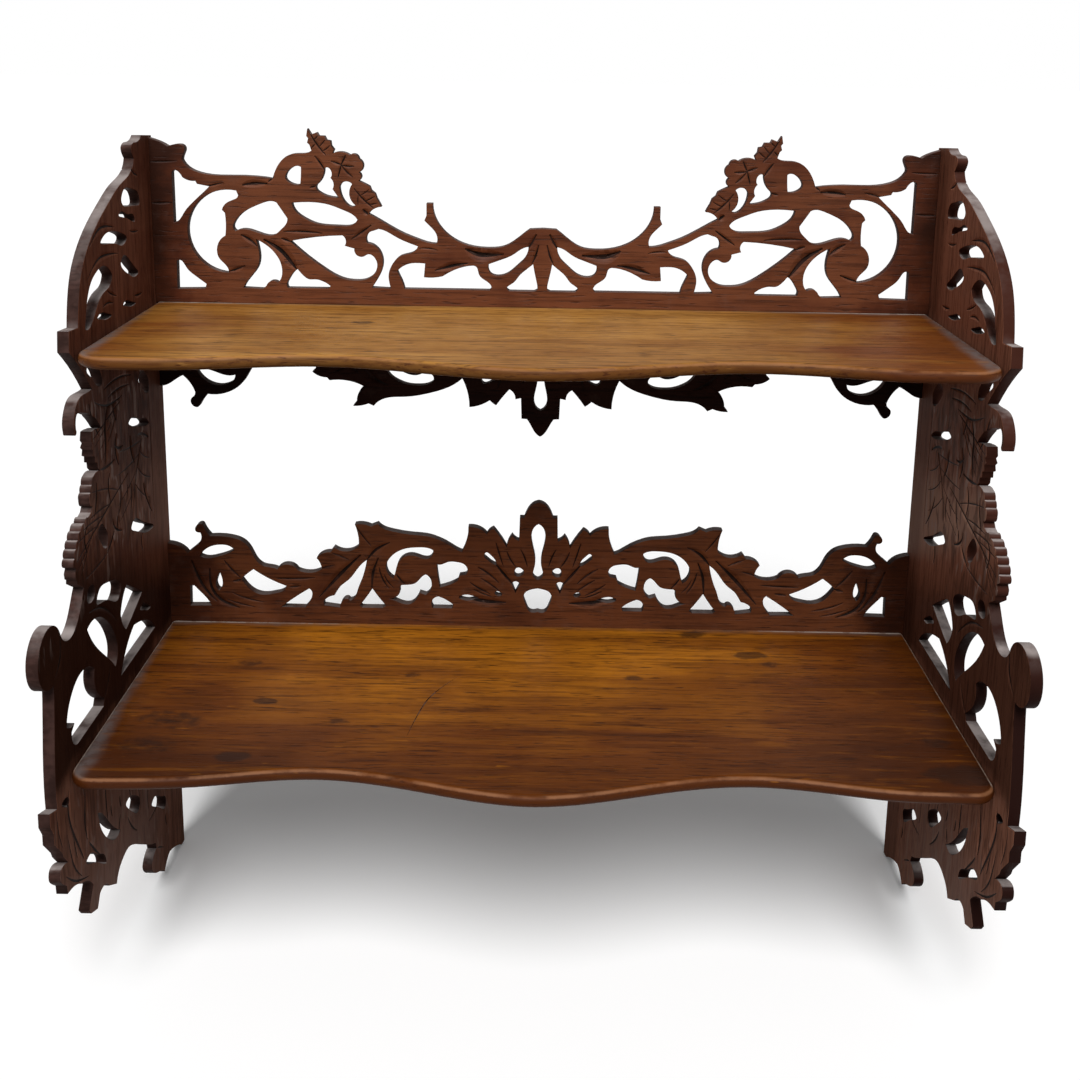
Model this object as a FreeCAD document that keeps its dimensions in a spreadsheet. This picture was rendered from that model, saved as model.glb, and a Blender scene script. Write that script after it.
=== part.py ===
import os

import FreeCAD
import Part

# Two-tier fretwork wall shelf.
# X runs to the right, Y towards the wall (the wall is y = 0), Z is up.
# The origin lies midway between the two keyhole hangers, on the wall.

doc = FreeCAD.newDocument("wall_shelf")
sheet = doc.addObject("Spreadsheet::Sheet", "Sizes")

sizes = [
    ("inner_width", "620"),
    ("side_thickness", "8"),
    ("board_thickness", "8"),
    ("shelf_thickness", "9"),
    ("nose_radius", "4.2"),
    ("upper_level", "275"),
    ("hanger_level", "357"),
    ("upper_middle_depth", "207"),
    ("upper_hollow_depth", "177"),
    ("upper_shoulder_depth", "195"),
    ("upper_corner_depth", "172"),
    ("upper_corner_inset", "26"),
    ("lower_middle_depth", "258"),
    ("lower_hollow_depth", "230"),
    ("lower_shoulder_depth", "246"),
    ("lower_corner_depth", "230"),
    ("lower_corner_inset", "16"),
    ("screw_shank", "1.6"),
    ("screw_head", "3.2"),
    ("screw_head_depth", "2"),
    ("screw_length", "23"),
    ("dowel_radius", "2"),
    ("dowel_length", "16"),
    ("hanger_spacing", "603"),
    ("plate_width", "13"),
    ("plate_height", "44"),
    ("plate_thickness", "1.6"),
    ("plate_below_hole", "12"),
    ("keyhole_radius", "4"),
    ("keyslot_radius", "2.1"),
    ("keyslot_rise", "13"),
    ("pocket_radius", "4.6"),
    ("pocket_depth", "3.6"),
    ("hanger_screw_shank", "1.1"),
    ("hanger_screw_head", "2.2"),
    ("hanger_screw_head_depth", "1.1"),
    ("hanger_screw_length", "6.4"),
    ("hanger_screw_inset", "4"),
]
for row, (alias, text) in enumerate(sizes, start=1):
    sheet.set("A%d" % row, alias)
    sheet.set("B%d" % row, text)
    sheet.setAlias("B%d" % row, alias)
doc.recompute()


def size(alias):
    return float(getattr(sheet, alias))


# The back boards are drawn for this half width and stretched with the real one.
drawn_half_width = 310
half_width = size("inner_width") / 2
stretch = half_width / drawn_half_width
lower_z = -size("hanger_level")
upper_z = size("upper_level") - size("hanger_level")


# Outlines are lists of runs. A run of two points is a straight cut, of three an arc,
# of more a smooth curve. Each run ends where the next one starts.

def cut_line(points):
    if len(points) == 2:
        return Part.makeLine(points[0], points[1])
    if len(points) == 3:
        return Part.Arc(points[0], points[1], points[2]).toShape()
    curve = Part.BSplineCurve()
    curve.interpolate(points)
    return curve.toShape()


def joined(runs):
    full = []
    for index, run in enumerate(runs):
        full.append(run + [runs[(index + 1) % len(runs)][0]])
    return full


def wire_of(full_runs, place):
    return Part.Wire([cut_line([place(p) for p in run]) for run in full_runs])


def round_wire(points, place):
    curve = Part.BSplineCurve()
    curve.interpolate([place(p) for p in points], True)
    return Part.Wire([curve.toShape()])


def mirrored(point):
    return (-point[0], point[1])


def face_of(outer, openings):
    face = Part.Face(outer)
    for opening in openings:
        face = face.cut(Part.Face(opening))
    return face.Faces[0]


# Pierced back boards. First number: distance from the middle; second: height above the shelf top.
# Only the right half is drawn; the left half mirrors it.

crest_edge = [
    [(310, 130.5), (305, 129), (300, 127)],
    [(295.2, 124.2), (292, 125.3), (287.4, 126), (283.5, 125.2), (282, 122.9), (282.8, 119)],
    [(284.3, 113.6), (279.2, 107.6), (270.9, 104), (260.6, 102.3), (240, 102.2), (224.4, 101.6)],
    [(213.5, 100.2), (209.4, 110.2), (205.8, 114.9), (200.6, 118.7), (195.5, 120), (188.2, 120.3)],
    [(182.5, 122.4)],
    [(184, 127)],
    [(185.8, 128.6)],
    [(184.9, 132)],
    [(186.3, 133.8)],
    [(185.4, 139.5)],
    [(182.6, 135)],
    [(178.1, 136.8)],
    [(176.7, 134.1)],
    [(172.2, 134)],
    [(170.7, 130.9)],
    [(167.6, 130.4)],
    [(167, 126.4)],
    [(164.7, 123.6)],
    [(166, 120.6), (158.5, 122)],
    [(152.5, 119.6), (148.2, 120.4)],
    [(145.2, 116.6), (142, 111)],
    [(145.3, 106), (143.6, 102.4)],
    [(145.7, 99.4), (140.7, 97.1)],
    [(137.2, 95.2)],
    [(136, 92)],
    [(133, 89.6)],
    [(131.6, 85.6), (129.6, 82.2)],
    [(128.1, 79.2), (133.5, 77.7)],
    [(138.1, 73.5), (131.4, 69.9), (119, 62.7), (109.7, 58), (100.4, 54.4), (92.1, 51.6)],
    [(84.7, 50.6), (83.9, 54.9), (84.9, 58.5), (91.1, 65.8)],
    [(94.2, 68.9)],
    [(92.5, 73)],
    [(92.5, 82.6)],
    [(87.5, 82.6), (87.2, 77.7), (85.7, 72), (82.8, 66.3), (77.7, 60.1), (69.4, 53.9), (60.1, 50),
     (50.8, 48.2), (40.5, 47.9), (31.2, 49.2), (23.9, 52.9), (16.7, 58.5)],
    [(10.5, 63.4)],
]
crest_top = (0, 64)

crest_holes = [
    [[(292.8, 104), (290.3, 105.6), (286.4, 103)],
     [(284.6, 100), (280.2, 97.8)],
     [(274.5, 97.3)],
     [(273.3, 95)],
     [(263.7, 93.2), (270.9, 86.4), (278.1, 79.7), (284.3, 72.5), (288.5, 66.3)],
     [(292.8, 64.2)]],
    [[(242.6, 90.2), (282.2, 57)],
     [(250.4, 24.6), (253.3, 31.2), (258, 36.3), (259.5, 42.5), (258, 48.7)],
     [(252.3, 54.4), (251.6, 63.5)],
     [(252.1, 72.5)],
     [(254.4, 74.8), (252.8, 78.2), (249.2, 81.3), (243, 83.9)],
     [(241.1, 86.4)]],
    [[(244, 58.2), (245.9, 61.1), (244, 66.3), (238.9, 72), (231.6, 76.6), (223.4, 80.2), (214.1, 82.3)],
     [(211, 81.3)],
     [(202.7, 68.9), (203.2, 65.8), (208.9, 59.1), (213, 55.8), (218.2, 55.1), (228.5, 58)]],
    [[(198.8, 81.3), (189.3, 82), (176.9, 81.6), (167.6, 79.7), (158.3, 76.1), (150, 72)],
     [(147.2, 68.6), (152, 64.4), (160.3, 63.7), (170.7, 64), (180, 65.3), (189.3, 69.4), (196.5, 75.1)]],
    [[(228, 51.8), (219.2, 46.7), (213, 40.5), (209.4, 34.3), (207.9, 27), (209.4, 19.8)],
     [(211.5, 17.2), (216.6, 18.4)],
     [(220.8, 14.6)],
     [(223.4, 12)],
     [(239.2, 12.6), (232.7, 21.9), (227, 30.1), (225.6, 37.4), (226.5, 45.6)]],
    [[(201.1, 50.8), (180, 54.4)],
     [(159.3, 56), (156.6, 51.5)],
     [(157.7, 47.7)],
     [(150, 45.6), (146.6, 39.4)],
     [(140.7, 40.5), (137.1, 41), (133.5, 37.9), (131.9, 33.2), (132.9, 28.1), (136.6, 23.4), (141.7, 20.8),
      (150, 20), (157.2, 20.8), (165.5, 23.9), (174.8, 29.6), (186.2, 37.9)]],
    [[(195.5, 28.3), (191.3, 23.4), (186.2, 20.2), (181, 20.2), (176.9, 19.3)],
     [(169.6, 15.1)],
     [(170.7, 13.1)],
     [(203.7, 13.1), (204.4, 15.6), (202.7, 19.8), (199.6, 24.6)]],
    [[(291.8, 33.4), (289, 34.1), (284.3, 28.1), (277.1, 21.3)],
     [(268.8, 15.1)],
     [(269.9, 11.5)],
     [(292.1, 11)]],
    [[(191, 109.5), (194, 110.4), (197.5, 109.2), (201.7, 105.6), (203.2, 100.4), (200.6, 97.6)],
     [(191.8, 96.2), (191.2, 103)]],
    [[(172.7, 108.7), (174.3, 101.4)],
     [(178.9, 95.7), (179.2, 92.6), (175.8, 89.5), (169.6, 87)],
     [(161.9, 86)],
     [(166.5, 92.6), (165.6, 97)],
     [(168.1, 101.4), (167, 105.6), (169.6, 109.4)]],
    [[(160.9, 94.2), (157.5, 98.4)],
     [(151, 96.8), (153.4, 89)],
     [(148.5, 80), (151.5, 79), (156.2, 81.8), (159.8, 88)]],
    [[(130.4, 61.6), (125.2, 60.1), (115.9, 54.9), (106.6, 50.8)],
     [(99.4, 48.2), (105.6, 42.5), (112.8, 40.5), (116.9, 37.4), (121.1, 31.2), (122.9, 25), (122.6, 19.8)],
     [(121.2, 13.8)],
     [(136.1, 14.4), (129.3, 26), (127.3, 33.2), (127.8, 39.4), (130.9, 45.6), (135.5, 49.2)],
     [(139.7, 50.3), (140.4, 54)],
     [(134.5, 60.1)]],
    [[(115.9, 28.1), (111.8, 31.7), (105.6, 34.3), (99.4, 34.8)],
     [(93.7, 34.5)],
     [(94.7, 23.4), (87, 23.2)],
     [(79.7, 24.4), (75.6, 27), (69.4, 30.1), (61.1, 32.7)],
     [(54.9, 33.4), (52.3, 31.7), (50.8, 26.5), (47.7, 22.9), (42.5, 19.3), (40.7, 16.2)],
     [(42, 13.8)],
     [(110.2, 13.8), (111.6, 18.6)],
     [(113.6, 23)]],
    [[(43, 34.8), (33.2, 38.4), (23.9, 42.5), (15.7, 48)],
     [(11.5, 49.2), (12, 44.6), (14.6, 39.4), (19.8, 34.3), (27, 28.1), (33.2, 25.7), (39.4, 26.2)]],
    [[(7.6, 35.3), (6.6, 29.6), (5.3, 23.9), (4.1, 18.2)],
     [(3.9, 14.6)],
     [(6.4, 13.4)],
     [(26, 13.4), (28.4, 15.6), (22.9, 20.3), (18.8, 25.5), (12.6, 31.2)]],
]

gallery_edge = [
    [(310, 69.5), (305, 68.7), (299.8, 66.6)],
    [(293.6, 60.9), (286.4, 67.1), (281.8, 73.5)],
    [(282.3, 79.2), (286.6, 82), (285.4, 85.2), (281.7, 87.1)],
    [(279.5, 85), (277.9, 81.6)],
    [(274, 76.4), (263.7, 76.6), (255.4, 75.4), (248.2, 72.8), (243, 68.2), (239.9, 63), (236.5, 56),
     (230.6, 50.8), (224.4, 49.6)],
    [(218.7, 48), (210, 52.4)],
    [(201.7, 47.5), (191.3, 45.4)],
    [(181.5, 48.5), (182.6, 53.8)],
    [(185.6, 58.3), (181, 62.5)],
    [(173.8, 64)],
    [(170.7, 68.2), (160.8, 65)],
    [(150, 70), (150.6, 80)],
    [(153.1, 88.8), (146, 89.2)],
    [(139.7, 87.3)],
    [(134, 89.7), (129.3, 85.7), (123.1, 83.7), (113.8, 81.8), (103.5, 80.6), (92.1, 79.5), (83.9, 76.9),
     (75.6, 72.8), (67.3, 67.6)],
    [(63.7, 66.1), (60.2, 75)],
    [(58.5, 88.3), (50.5, 87.4)],
    [(43, 82.1), (40.6, 85.4)],
    [(37.4, 87.3), (31.6, 79.6)],
    [(26.5, 71.3), (24.8, 77)],
    [(21.9, 81.6), (19.4, 78.6)],
    [(16.2, 76.9)],
    [(15.7, 97.1)],
    [(12, 97.1), (8.9, 104.3), (5.3, 108.5)],
]
gallery_top = (0, 110.7)

gallery_holes = [
    [[(283.3, 58.6), (279.2, 64), (273, 67.6), (265.7, 68.9), (259.5, 68.2)],
     [(254.4, 64.5), (258.5, 62), (268.8, 58.3), (277.1, 56.8)]],
    [[(292.6, 32)],
     [(289, 32), (284.3, 26.8), (279.4, 21.4)],
     [(275.2, 14.4)],
     [(293, 14)]],
    [[(249.2, 38.7), (244, 43.6)],
     [(238.9, 47.5), (226.5, 39.7)],
     [(211.5, 33), (214.1, 28.9), (221.3, 26.3), (230.6, 25), (238.9, 27.3), (244, 31.5)]],
    [[(216.1, 14.2), (206.8, 21.4)],
     [(192.4, 31), (190.1, 28.2), (190.3, 23.7), (193, 17.8)],
     [(196, 14)]],
    [[(143.5, 57.5), (150, 51.3), (159.3, 39.2), (165.5, 34.1), (169.1, 28.9)],
     [(171.2, 25.3), (176.9, 23.2)],
     [(180.5, 19.6)],
     [(180, 16.3)],
     [(166.5, 14.4), (164.5, 20.6), (161.4, 22.7)],
     [(158.3, 21.1), (154.6, 22.9), (151.5, 31), (149, 37.2), (145.9, 46.5)]],
    [[(139.1, 32), (134, 24.6)],
     [(127.8, 16.8)],
     [(130.4, 14.9)],
     [(147.9, 14.9)],
     [(150, 16.5), (143.8, 24.8)]],
    [[(88, 67.1), (92.1, 68.9), (100.4, 69.4), (110.7, 68.2), (119, 64.5), (124.7, 58.9), (127.3, 52.7),
      (126.2, 46.5)],
     [(121.4, 41.4), (119.4, 48.5), (118, 53.7), (114.3, 59.4), (108.7, 62.2), (102.5, 61.8), (96.3, 59.7),
      (91.1, 60), (88.5, 63)]],
    [[(94.2, 45.4), (90.6, 42.3), (89.2, 36.1), (91.1, 29.9)],
     [(94.2, 27.3)],
     [(99.4, 28.9), (102.3, 22.9), (106.6, 19.1), (111.8, 18.6), (119, 21.1)],
     [(125.2, 23.2), (118, 25.8)],
     [(115.9, 28.9)],
     [(115.9, 34.1)],
     [(114.3, 35.6), (108.7, 35.9), (102.5, 37.7), (98.3, 42.3)]],
    [[(84.9, 54.7), (80.8, 54.6), (75.6, 56.8), (67.3, 56.8), (62.2, 55.2), (59.1, 50.6)],
     [(60.6, 45.9)],
     [(65.8, 44.9)],
     [(67.3, 40.3), (73.5, 37)],
     [(82.3, 34.1), (83.9, 44)]],
    [[(83.3, 25.8), (77, 23)],
     [(70.9, 18.6)],
     [(72, 15.5)],
     [(88, 15.5), (89.4, 19.4)]],
    [[(21.9, 38.6), (18.6, 40.6)],
     [(15.2, 38)],
     [(18.8, 30.4)]],
]
gallery_rounds = [
    [(266.8, 43.4), (265.2, 37), (265.9, 31.5), (268.3, 28.4), (270.7, 32), (270, 38)],
    [(65.8, 25.8), (61.1, 27.9), (54, 26.8), (49.8, 24.8), (54, 23.4), (62, 23.2)],
    [(45.1, 63.6), (43.2, 66), (39.6, 63.5), (35.8, 59), (34.8, 55.4), (39.4, 57), (43.4, 60.4)],
    [(19.6, 49), (15.7, 52.9), (11.8, 49), (15.7, 45.1)],
    [(36, 30.5), (33.2, 31.4), (30, 28.7), (32.4, 27.4)],
]
gallery_middles = [
    [[(0, 91.7), (3.9, 88.4), (5.8, 80.6), (4.8, 72.3), (2.7, 63), (2.7, 54.7), (4.2, 46.5)], (0, 42.3)],
    [[(0, 34.6), (5.3, 33.5), (10.4, 30.6), (11.8, 27.4), (9.8, 20), (7.6, 14.8)], (0, 13.6)],
]

# The apron hangs below the upper shelf. It repeats the lower gallery upside down, drawn a little flatter;
# its second number is the depth below the shelf top.

apron_edge = [
    [(310, 69.6), (303, 68), (297, 64)],
    [(291, 60.6), (285.2, 67)],
    [(281.6, 74.4)],
    [(282.2, 78), (285.6, 82.6), (283.6, 86.2), (280.6, 87.3)],
    [(278.2, 85.2), (275.2, 80.4)],
    [(271.2, 75.9), (259.2, 75.5), (252.9, 73.4), (246.5, 69.6), (241.5, 64.5), (237.7, 58.2),
     (233.6, 52.6), (226, 49.8)],
    [(218.7, 48), (210, 52)],
    [(201.7, 47.5), (191.3, 45.4)],
    [(181.5, 48.5), (182.6, 52)],
    [(185.7, 55.7), (181, 58.9)],
    [(173.8, 60.4)],
    [(171.8, 62.8), (162.9, 62.2), (154, 63.4)],
    [(143.8, 67.4), (148.8, 74)],
    [(149.8, 80)],
    [(153, 84), (146.4, 83.6)],
    [(140.3, 81.8)],
    [(136, 83.7), (130.2, 78.6), (124, 76.5), (110, 75.6), (97.3, 73.8), (86.5, 71.1), (75.5, 67.2)],
    [(63.8, 59.4), (60, 69)],
    [(58, 83.4), (50.6, 82)],
    [(41.5, 77.5), (38.6, 80)],
    [(36.2, 81.6), (31.4, 75)],
    [(25.5, 68), (22, 71)],
    [(20.6, 76.2)],
    [(16, 75.2)],
    [(15.4, 92.5)],
    [(11, 92.8), (7.4, 98.6), (3.4, 105)],
]
apron_top = (0, 107.6)


apron_flatness = 0.9


def flattened(runs):
    return [[(d, apron_flatness * h) for d, h in run] for run in runs]


apron_holes = [
    [[(280.4, 54.5), (276.9, 60.7), (269.3, 66.6), (262, 68.4), (255.4, 67.4), (250.3, 64.3)],
     [(248.4, 59.5), (259, 59.2), (266, 56.6), (273, 54.8)]],
    [[(87.7, 62.6), (92, 64.9), (99.5, 65.9), (108, 65.3), (115.5, 62.6), (121.9, 58.3), (125.4, 52.4)],
     [(120.6, 43.4), (117.6, 50.8), (111.2, 55.1), (105.9, 57), (99.5, 57), (92, 54.9), (88.2, 57)]],
]
apron_holes += [flattened(runs) for runs in gallery_holes[1:6] + gallery_holes[7:]]
apron_rounds = [
    [(48.4, 60), (46, 63.5), (40.5, 61.8), (36.2, 57.4), (37, 54.9), (42, 55), (46.2, 57)],
]
apron_rounds += flattened(gallery_rounds[0:2] + gallery_rounds[3:])
apron_middles = [
    [[(0, 85.8), (4.2, 82), (5.3, 75), (3.4, 65), (2.2, 57), (2.4, 48), (3.2, 43)], (0, 40.4)],
    [[(0, 31.1), (5.3, 30.2), (10.4, 27.5), (11.8, 24.7), (9.8, 18), (7.6, 13.3)], (0, 12.2)],
]


def middle_runs(half, end):
    right = half + [end]
    left = [mirrored(p) for p in reversed(right)]
    return [right, left]


def board_face(edge, top, foot, holes, rounds, middles, way):
    def place(point):
        return FreeCAD.Vector(point[0] * stretch, 0, way * point[1])

    right = []
    for index, run in enumerate(edge):
        after = edge[index + 1][0] if index + 1 < len(edge) else top
        right.append(run + [after])
    left = [[mirrored(p) for p in reversed(run)] for run in reversed(right)]
    corner = edge[0][0]
    low_right = (drawn_half_width, foot)
    low_left = mirrored(low_right)
    frame = [[mirrored(corner), low_left], [low_left, low_right], [low_right, corner]]
    outer = wire_of(right + left + frame, place)
    openings = []
    for runs in holes:
        openings.append(wire_of(joined(runs), place))
        openings.append(wire_of(joined([[mirrored(p) for p in run] for run in runs]), place))
    for points in rounds:
        openings.append(round_wire(points, place))
        openings.append(round_wire([mirrored(p) for p in points], place))
    for half, end in middles:
        openings.append(wire_of(middle_runs(half, end), place))
    return face_of(outer, openings)


# Side panel. First number: distance in front of the back boards' faces (negative is forward);
# second: height above the lower shelf top.

side_edge = [
    [(8, 407)],
    [(-16, 408.5), (-22, 405.4), (-30, 404.2), (-39, 403.6), (-43, 400.5), (-41, 396)],
    [(-37, 392.5), (-40, 387.5), (-50, 381.5), (-72, 376), (-97, 366.5), (-125, 353.5), (-147, 339),
     (-161, 323.5), (-168.5, 306)],
    [(-172, 290)],
    [(-189, 291)],
    [(-191, 277), (-171, 261)],
    [(-153, 242.5), (-167, 243), (-180.5, 241.5), (-187, 236), (-190.5, 229.5)],
    [(-190.2, 222), (-188.2, 219.4)],
    [(-186, 222), (-186.4, 228.5), (-184, 232.4), (-176, 231.8), (-163, 228), (-150.5, 221)],
    [(-139, 210.4), (-149, 212.8)],
    [(-159, 213.6)],
    [(-161, 207.4)],
    [(-158, 204.8)],
    [(-161.5, 202.4)],
    [(-157.8, 199.8)],
    [(-159.4, 196)],
    [(-155, 194)],
    [(-155.4, 190)],
    [(-151, 188.4)],
    [(-150.4, 184.2)],
    [(-147, 181.4), (-154, 182.8)],
    [(-160, 181.8), (-163.2, 180)],
    [(-164.2, 176.6), (-167, 175)],
    [(-167.4, 172), (-170.4, 170.4)],
    [(-170.6, 167.2), (-169.8, 163.6)],
    [(-165.6, 161.6)],
    [(-169, 158)],
    [(-175, 156.4), (-179.4, 157.4)],
    [(-181.4, 154.6), (-187, 155.2)],
    [(-189.8, 152.2), (-194.4, 151.4)],
    [(-195.2, 147.8), (-199.6, 146.8)],
    [(-200, 143.4), (-204, 141.6)],
    [(-203.8, 138), (-207, 136)],
    [(-206.4, 132.6)],
    [(-202, 130.2)],
    [(-204.6, 127)],
    [(-203.8, 123)],
    [(-201.4, 121.6)],
    [(-201.8, 118.8)],
    [(-190, 111.5), (-199, 100.5), (-208, 92), (-218, 88.4), (-228.6, 90.4)],
    [(-236.6, 100.1), (-275.5, 91)],
    [(-252.5, 70.65), (-254.2, 55), (-258, 30), (-260.5, 5)],
    [(-260.5, -13)],
    [(-273, -8.8)],
    [(-273.4, -18.5)],
    [(-268.6, -26.5)],
    [(-268.8, -34)],
    [(-257.5, -47.2)],
    [(-255.6, -51.6)],
    [(-248.5, -60), (-255.5, -57), (-261.8, -57.6), (-263.6, -62), (-259.6, -69)],
    [(-253.5, -74.4)],
    [(-253, -80.8)],
    [(-246, -82), (-238, -84.6)],
    [(-228.5, -90.3), (-217, -96)],
    [(-207.5, -105.6)],
    [(-218, -119)],
    [(-214, -124)],
    [(-202, -129)],
    [(-196, -121), (-186, -121)],
    [(-177, -128)],
    [(-162, -137), (-154, -129), (-146, -126.5), (-134, -126), (-120, -132), (-100, -145)],
    [(-70, -164)],
    [(-68, -170), (-76, -172), (-82, -178), (-78, -185.5), (-66, -193.5)],
    [(-50, -204), (-42, -198)],
    [(-34, -196), (-16, -202.6)],
    [(0, -212)],
    [(8, -213)],
]

side_holes = [
    [[(-158.8, 286), (-151.7, 304.7), (-142.7, 315.3), (-130.2, 321), (-115.9, 323), (-105.2, 319)],
     [(-98.9, 313.4), (-103.4, 307.9), (-119.5, 304), (-133.8, 296.9), (-144.5, 287.9), (-152.5, 284.8)]],
    [[(-189, 80), (-178, 81.6), (-163, 77.5), (-148, 67), (-136, 52), (-131.6, 40)],
     [(-138, 27), (-148, 37), (-162, 49), (-175, 61)]],
    [[(-121, 61), (-114, 71.4)],
     [(-105, 77), (-90, 69)],
     [(-70, 56.5), (-85, 51.6)],
     [(-111, 44), (-118, 51.6)]],
    [[(-128, 14), (-112, 30)],
     [(-93, 39), (-74, 34), (-56, 26)],
     [(-42, 14)]],
    [[(-236, 32), (-230, 44), (-221, 51.4), (-212, 55), (-200, 55.5), (-188, 52)],
     [(-180, 46), (-182, 36), (-176, 25)],
     [(-164, 15)],
     [(-167, 10.5)],
     [(-217, 10.5), (-226, 14.6)],
     [(-228, 24)],
     [(-222, 27.5), (-230, 28.4)]],
    [[(-191, -60), (-182, -66), (-172, -78), (-160, -91.4)],
     [(-148, -101), (-158, -101.6), (-172, -93), (-184, -79)]],
]

side_rounds = [
    [(-70, 366), (-62, 372), (-45, 370), (-30, 364), (-28, 358.5), (-40, 357), (-58, 358.5), (-68, 361)],
    [(-77, 355), (-72, 356.2), (-58, 352.4), (-43, 348.6), (-42, 346.5), (-52, 347.3), (-68, 351.5)],
    [(-118, 341), (-108, 344.5), (-90, 344), (-72, 340), (-63, 335), (-68, 332.2), (-85, 334), (-105, 337)],
    [(-78, 320), (-71, 323.5), (-60, 319), (-46, 310), (-40, 305.5), (-46, 303.8), (-62, 308),
     (-74, 313.5)],
    [(-133, 289.3), (-126, 290.8), (-112, 287.5), (-105, 285), (-112, 284.2), (-126, 286.4)],
    [(-78, 288), (-72, 289.4), (-58, 286), (-50, 283.6), (-58, 282.9), (-72, 285.4)],
    [(-160, 259), (-153, 262.5), (-143, 257), (-134, 249), (-132.5, 242), (-139, 241), (-148, 246.5),
     (-156, 253)],
    [(-52, 226), (-46, 229.5), (-34, 224), (-28, 215), (-30, 209), (-38, 210), (-47, 217)],
    [(-80, 197.5), (-73, 199), (-55, 193.5), (-36, 187), (-33, 184.2), (-42, 184), (-60, 188.6),
     (-76, 194)],
    [(-86, 117), (-78, 120), (-66, 114.6), (-46, 104.4), (-34, 98), (-46, 98), (-66, 104.5), (-80, 111)],
    [(-157, 139), (-150, 142.5), (-142, 136), (-138, 127), (-142, 122), (-150, 126), (-155, 132)],
    [(-168, 92), (-160, 98), (-145, 96), (-124, 89), (-117, 81), (-123, 75), (-140, 80), (-160, 87)],
    [(-186, 102), (-180, 108), (-172, 105.5), (-169.6, 99.6), (-176, 95.6), (-184, 97.5)],
    [(-76, 45.6), (-70, 46.5), (-58, 41), (-52, 36), (-57, 35.8), (-68, 40.4)],
    [(-216, -80.5), (-208, -80.5), (-195, -90), (-181, -102), (-180, -106), (-190, -100.6), (-206, -89.4)],
    [(-132, -88.6), (-124, -88.5), (-110, -96), (-102, -106), (-106, -111), (-118, -105.4), (-129, -95)],
    [(-73, -125.6), (-66, -124.5), (-50, -134), (-38, -145), (-40, -149), (-52, -143.4), (-68, -132)],
    [(-252, -14.5), (-246, -14), (-240, -18.6), (-241, -22), (-247, -20)],
]


def side_face():
    def place(point):
        return FreeCAD.Vector(0, point[0], point[1])

    outer = wire_of(joined(side_edge), place)
    openings = [wire_of(joined(runs), place) for runs in side_holes]
    openings += [round_wire(points, place) for points in side_rounds]
    return face_of(outer, openings)


def outline(name, face):
    item = doc.addObject("Part::Feature", name)
    item.Shape = face
    return item


def board(name, face, way, thickness, x, y, z):
    item = doc.addObject("Part::Extrusion", name)
    item.Base = outline(name + "_outline", face)
    item.DirMode = "Custom"
    item.Dir = way
    item.Solid = True
    item.setExpression("LengthFwd", "Sizes." + thickness)
    item.setExpression("Placement.Base.x", x)
    item.setExpression("Placement.Base.y", y)
    item.setExpression("Placement.Base.z", z)
    return item


def cut(name, base, tool):
    item = doc.addObject("Part::Cut", name)
    item.Base = base
    item.Tool = tool
    return item


along_y = FreeCAD.Vector(0, 1, 0)
along_x = FreeCAD.Vector(1, 0, 0)

crest_face = board_face(crest_edge, crest_top, 0, crest_holes, [], [], 1)
gallery_face = board_face(gallery_edge, gallery_top, -size("shelf_thickness"), gallery_holes,
                          gallery_rounds, gallery_middles, 1)
apron_face = board_face(apron_edge, apron_top, 0, apron_holes, apron_rounds, apron_middles, -1)
panel_face = side_face()

crest_board = board("crest_board", crest_face, along_y, "board_thickness", "0 mm",
                    "-Sizes.board_thickness", "Sizes.upper_level - Sizes.hanger_level")
apron_board = board("apron_board", apron_face, along_y, "board_thickness", "0 mm",
                    "-Sizes.board_thickness", "Sizes.upper_level - Sizes.hanger_level")
gallery_board = board("gallery_board", gallery_face, along_y, "board_thickness", "0 mm",
                      "-Sizes.board_thickness", "-Sizes.hanger_level")
left_board = board("left_board", panel_face, along_x, "side_thickness",
                   "-Sizes.inner_width / 2 - Sizes.side_thickness", "-Sizes.board_thickness",
                   "-Sizes.hanger_level")
right_board = board("right_board", panel_face, along_x, "side_thickness", "Sizes.inner_width / 2",
                    "-Sizes.board_thickness", "-Sizes.hanger_level")


# Shelves: serpentine front with a rounded nose.

def origin_plane(body, role):
    for item in body.Origin.OriginFeatures:
        if item.Role == role:
            return item
    return None


# Where the serpentine passes, as shares of the half width and in millimetres
shoulder_share = 0.72
hollow_share = 0.49
flank_x = 75
flank_back = 15
shoulder_back = 5
# Share of a corner's bend that is cut off, as in a quarter circle
corner_cut = 0.29
to_right = FreeCAD.Vector(1, 0, 0)
to_front = FreeCAD.Vector(0, -1, 0)
to_wall = FreeCAD.Vector(0, 1, 0)


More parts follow.
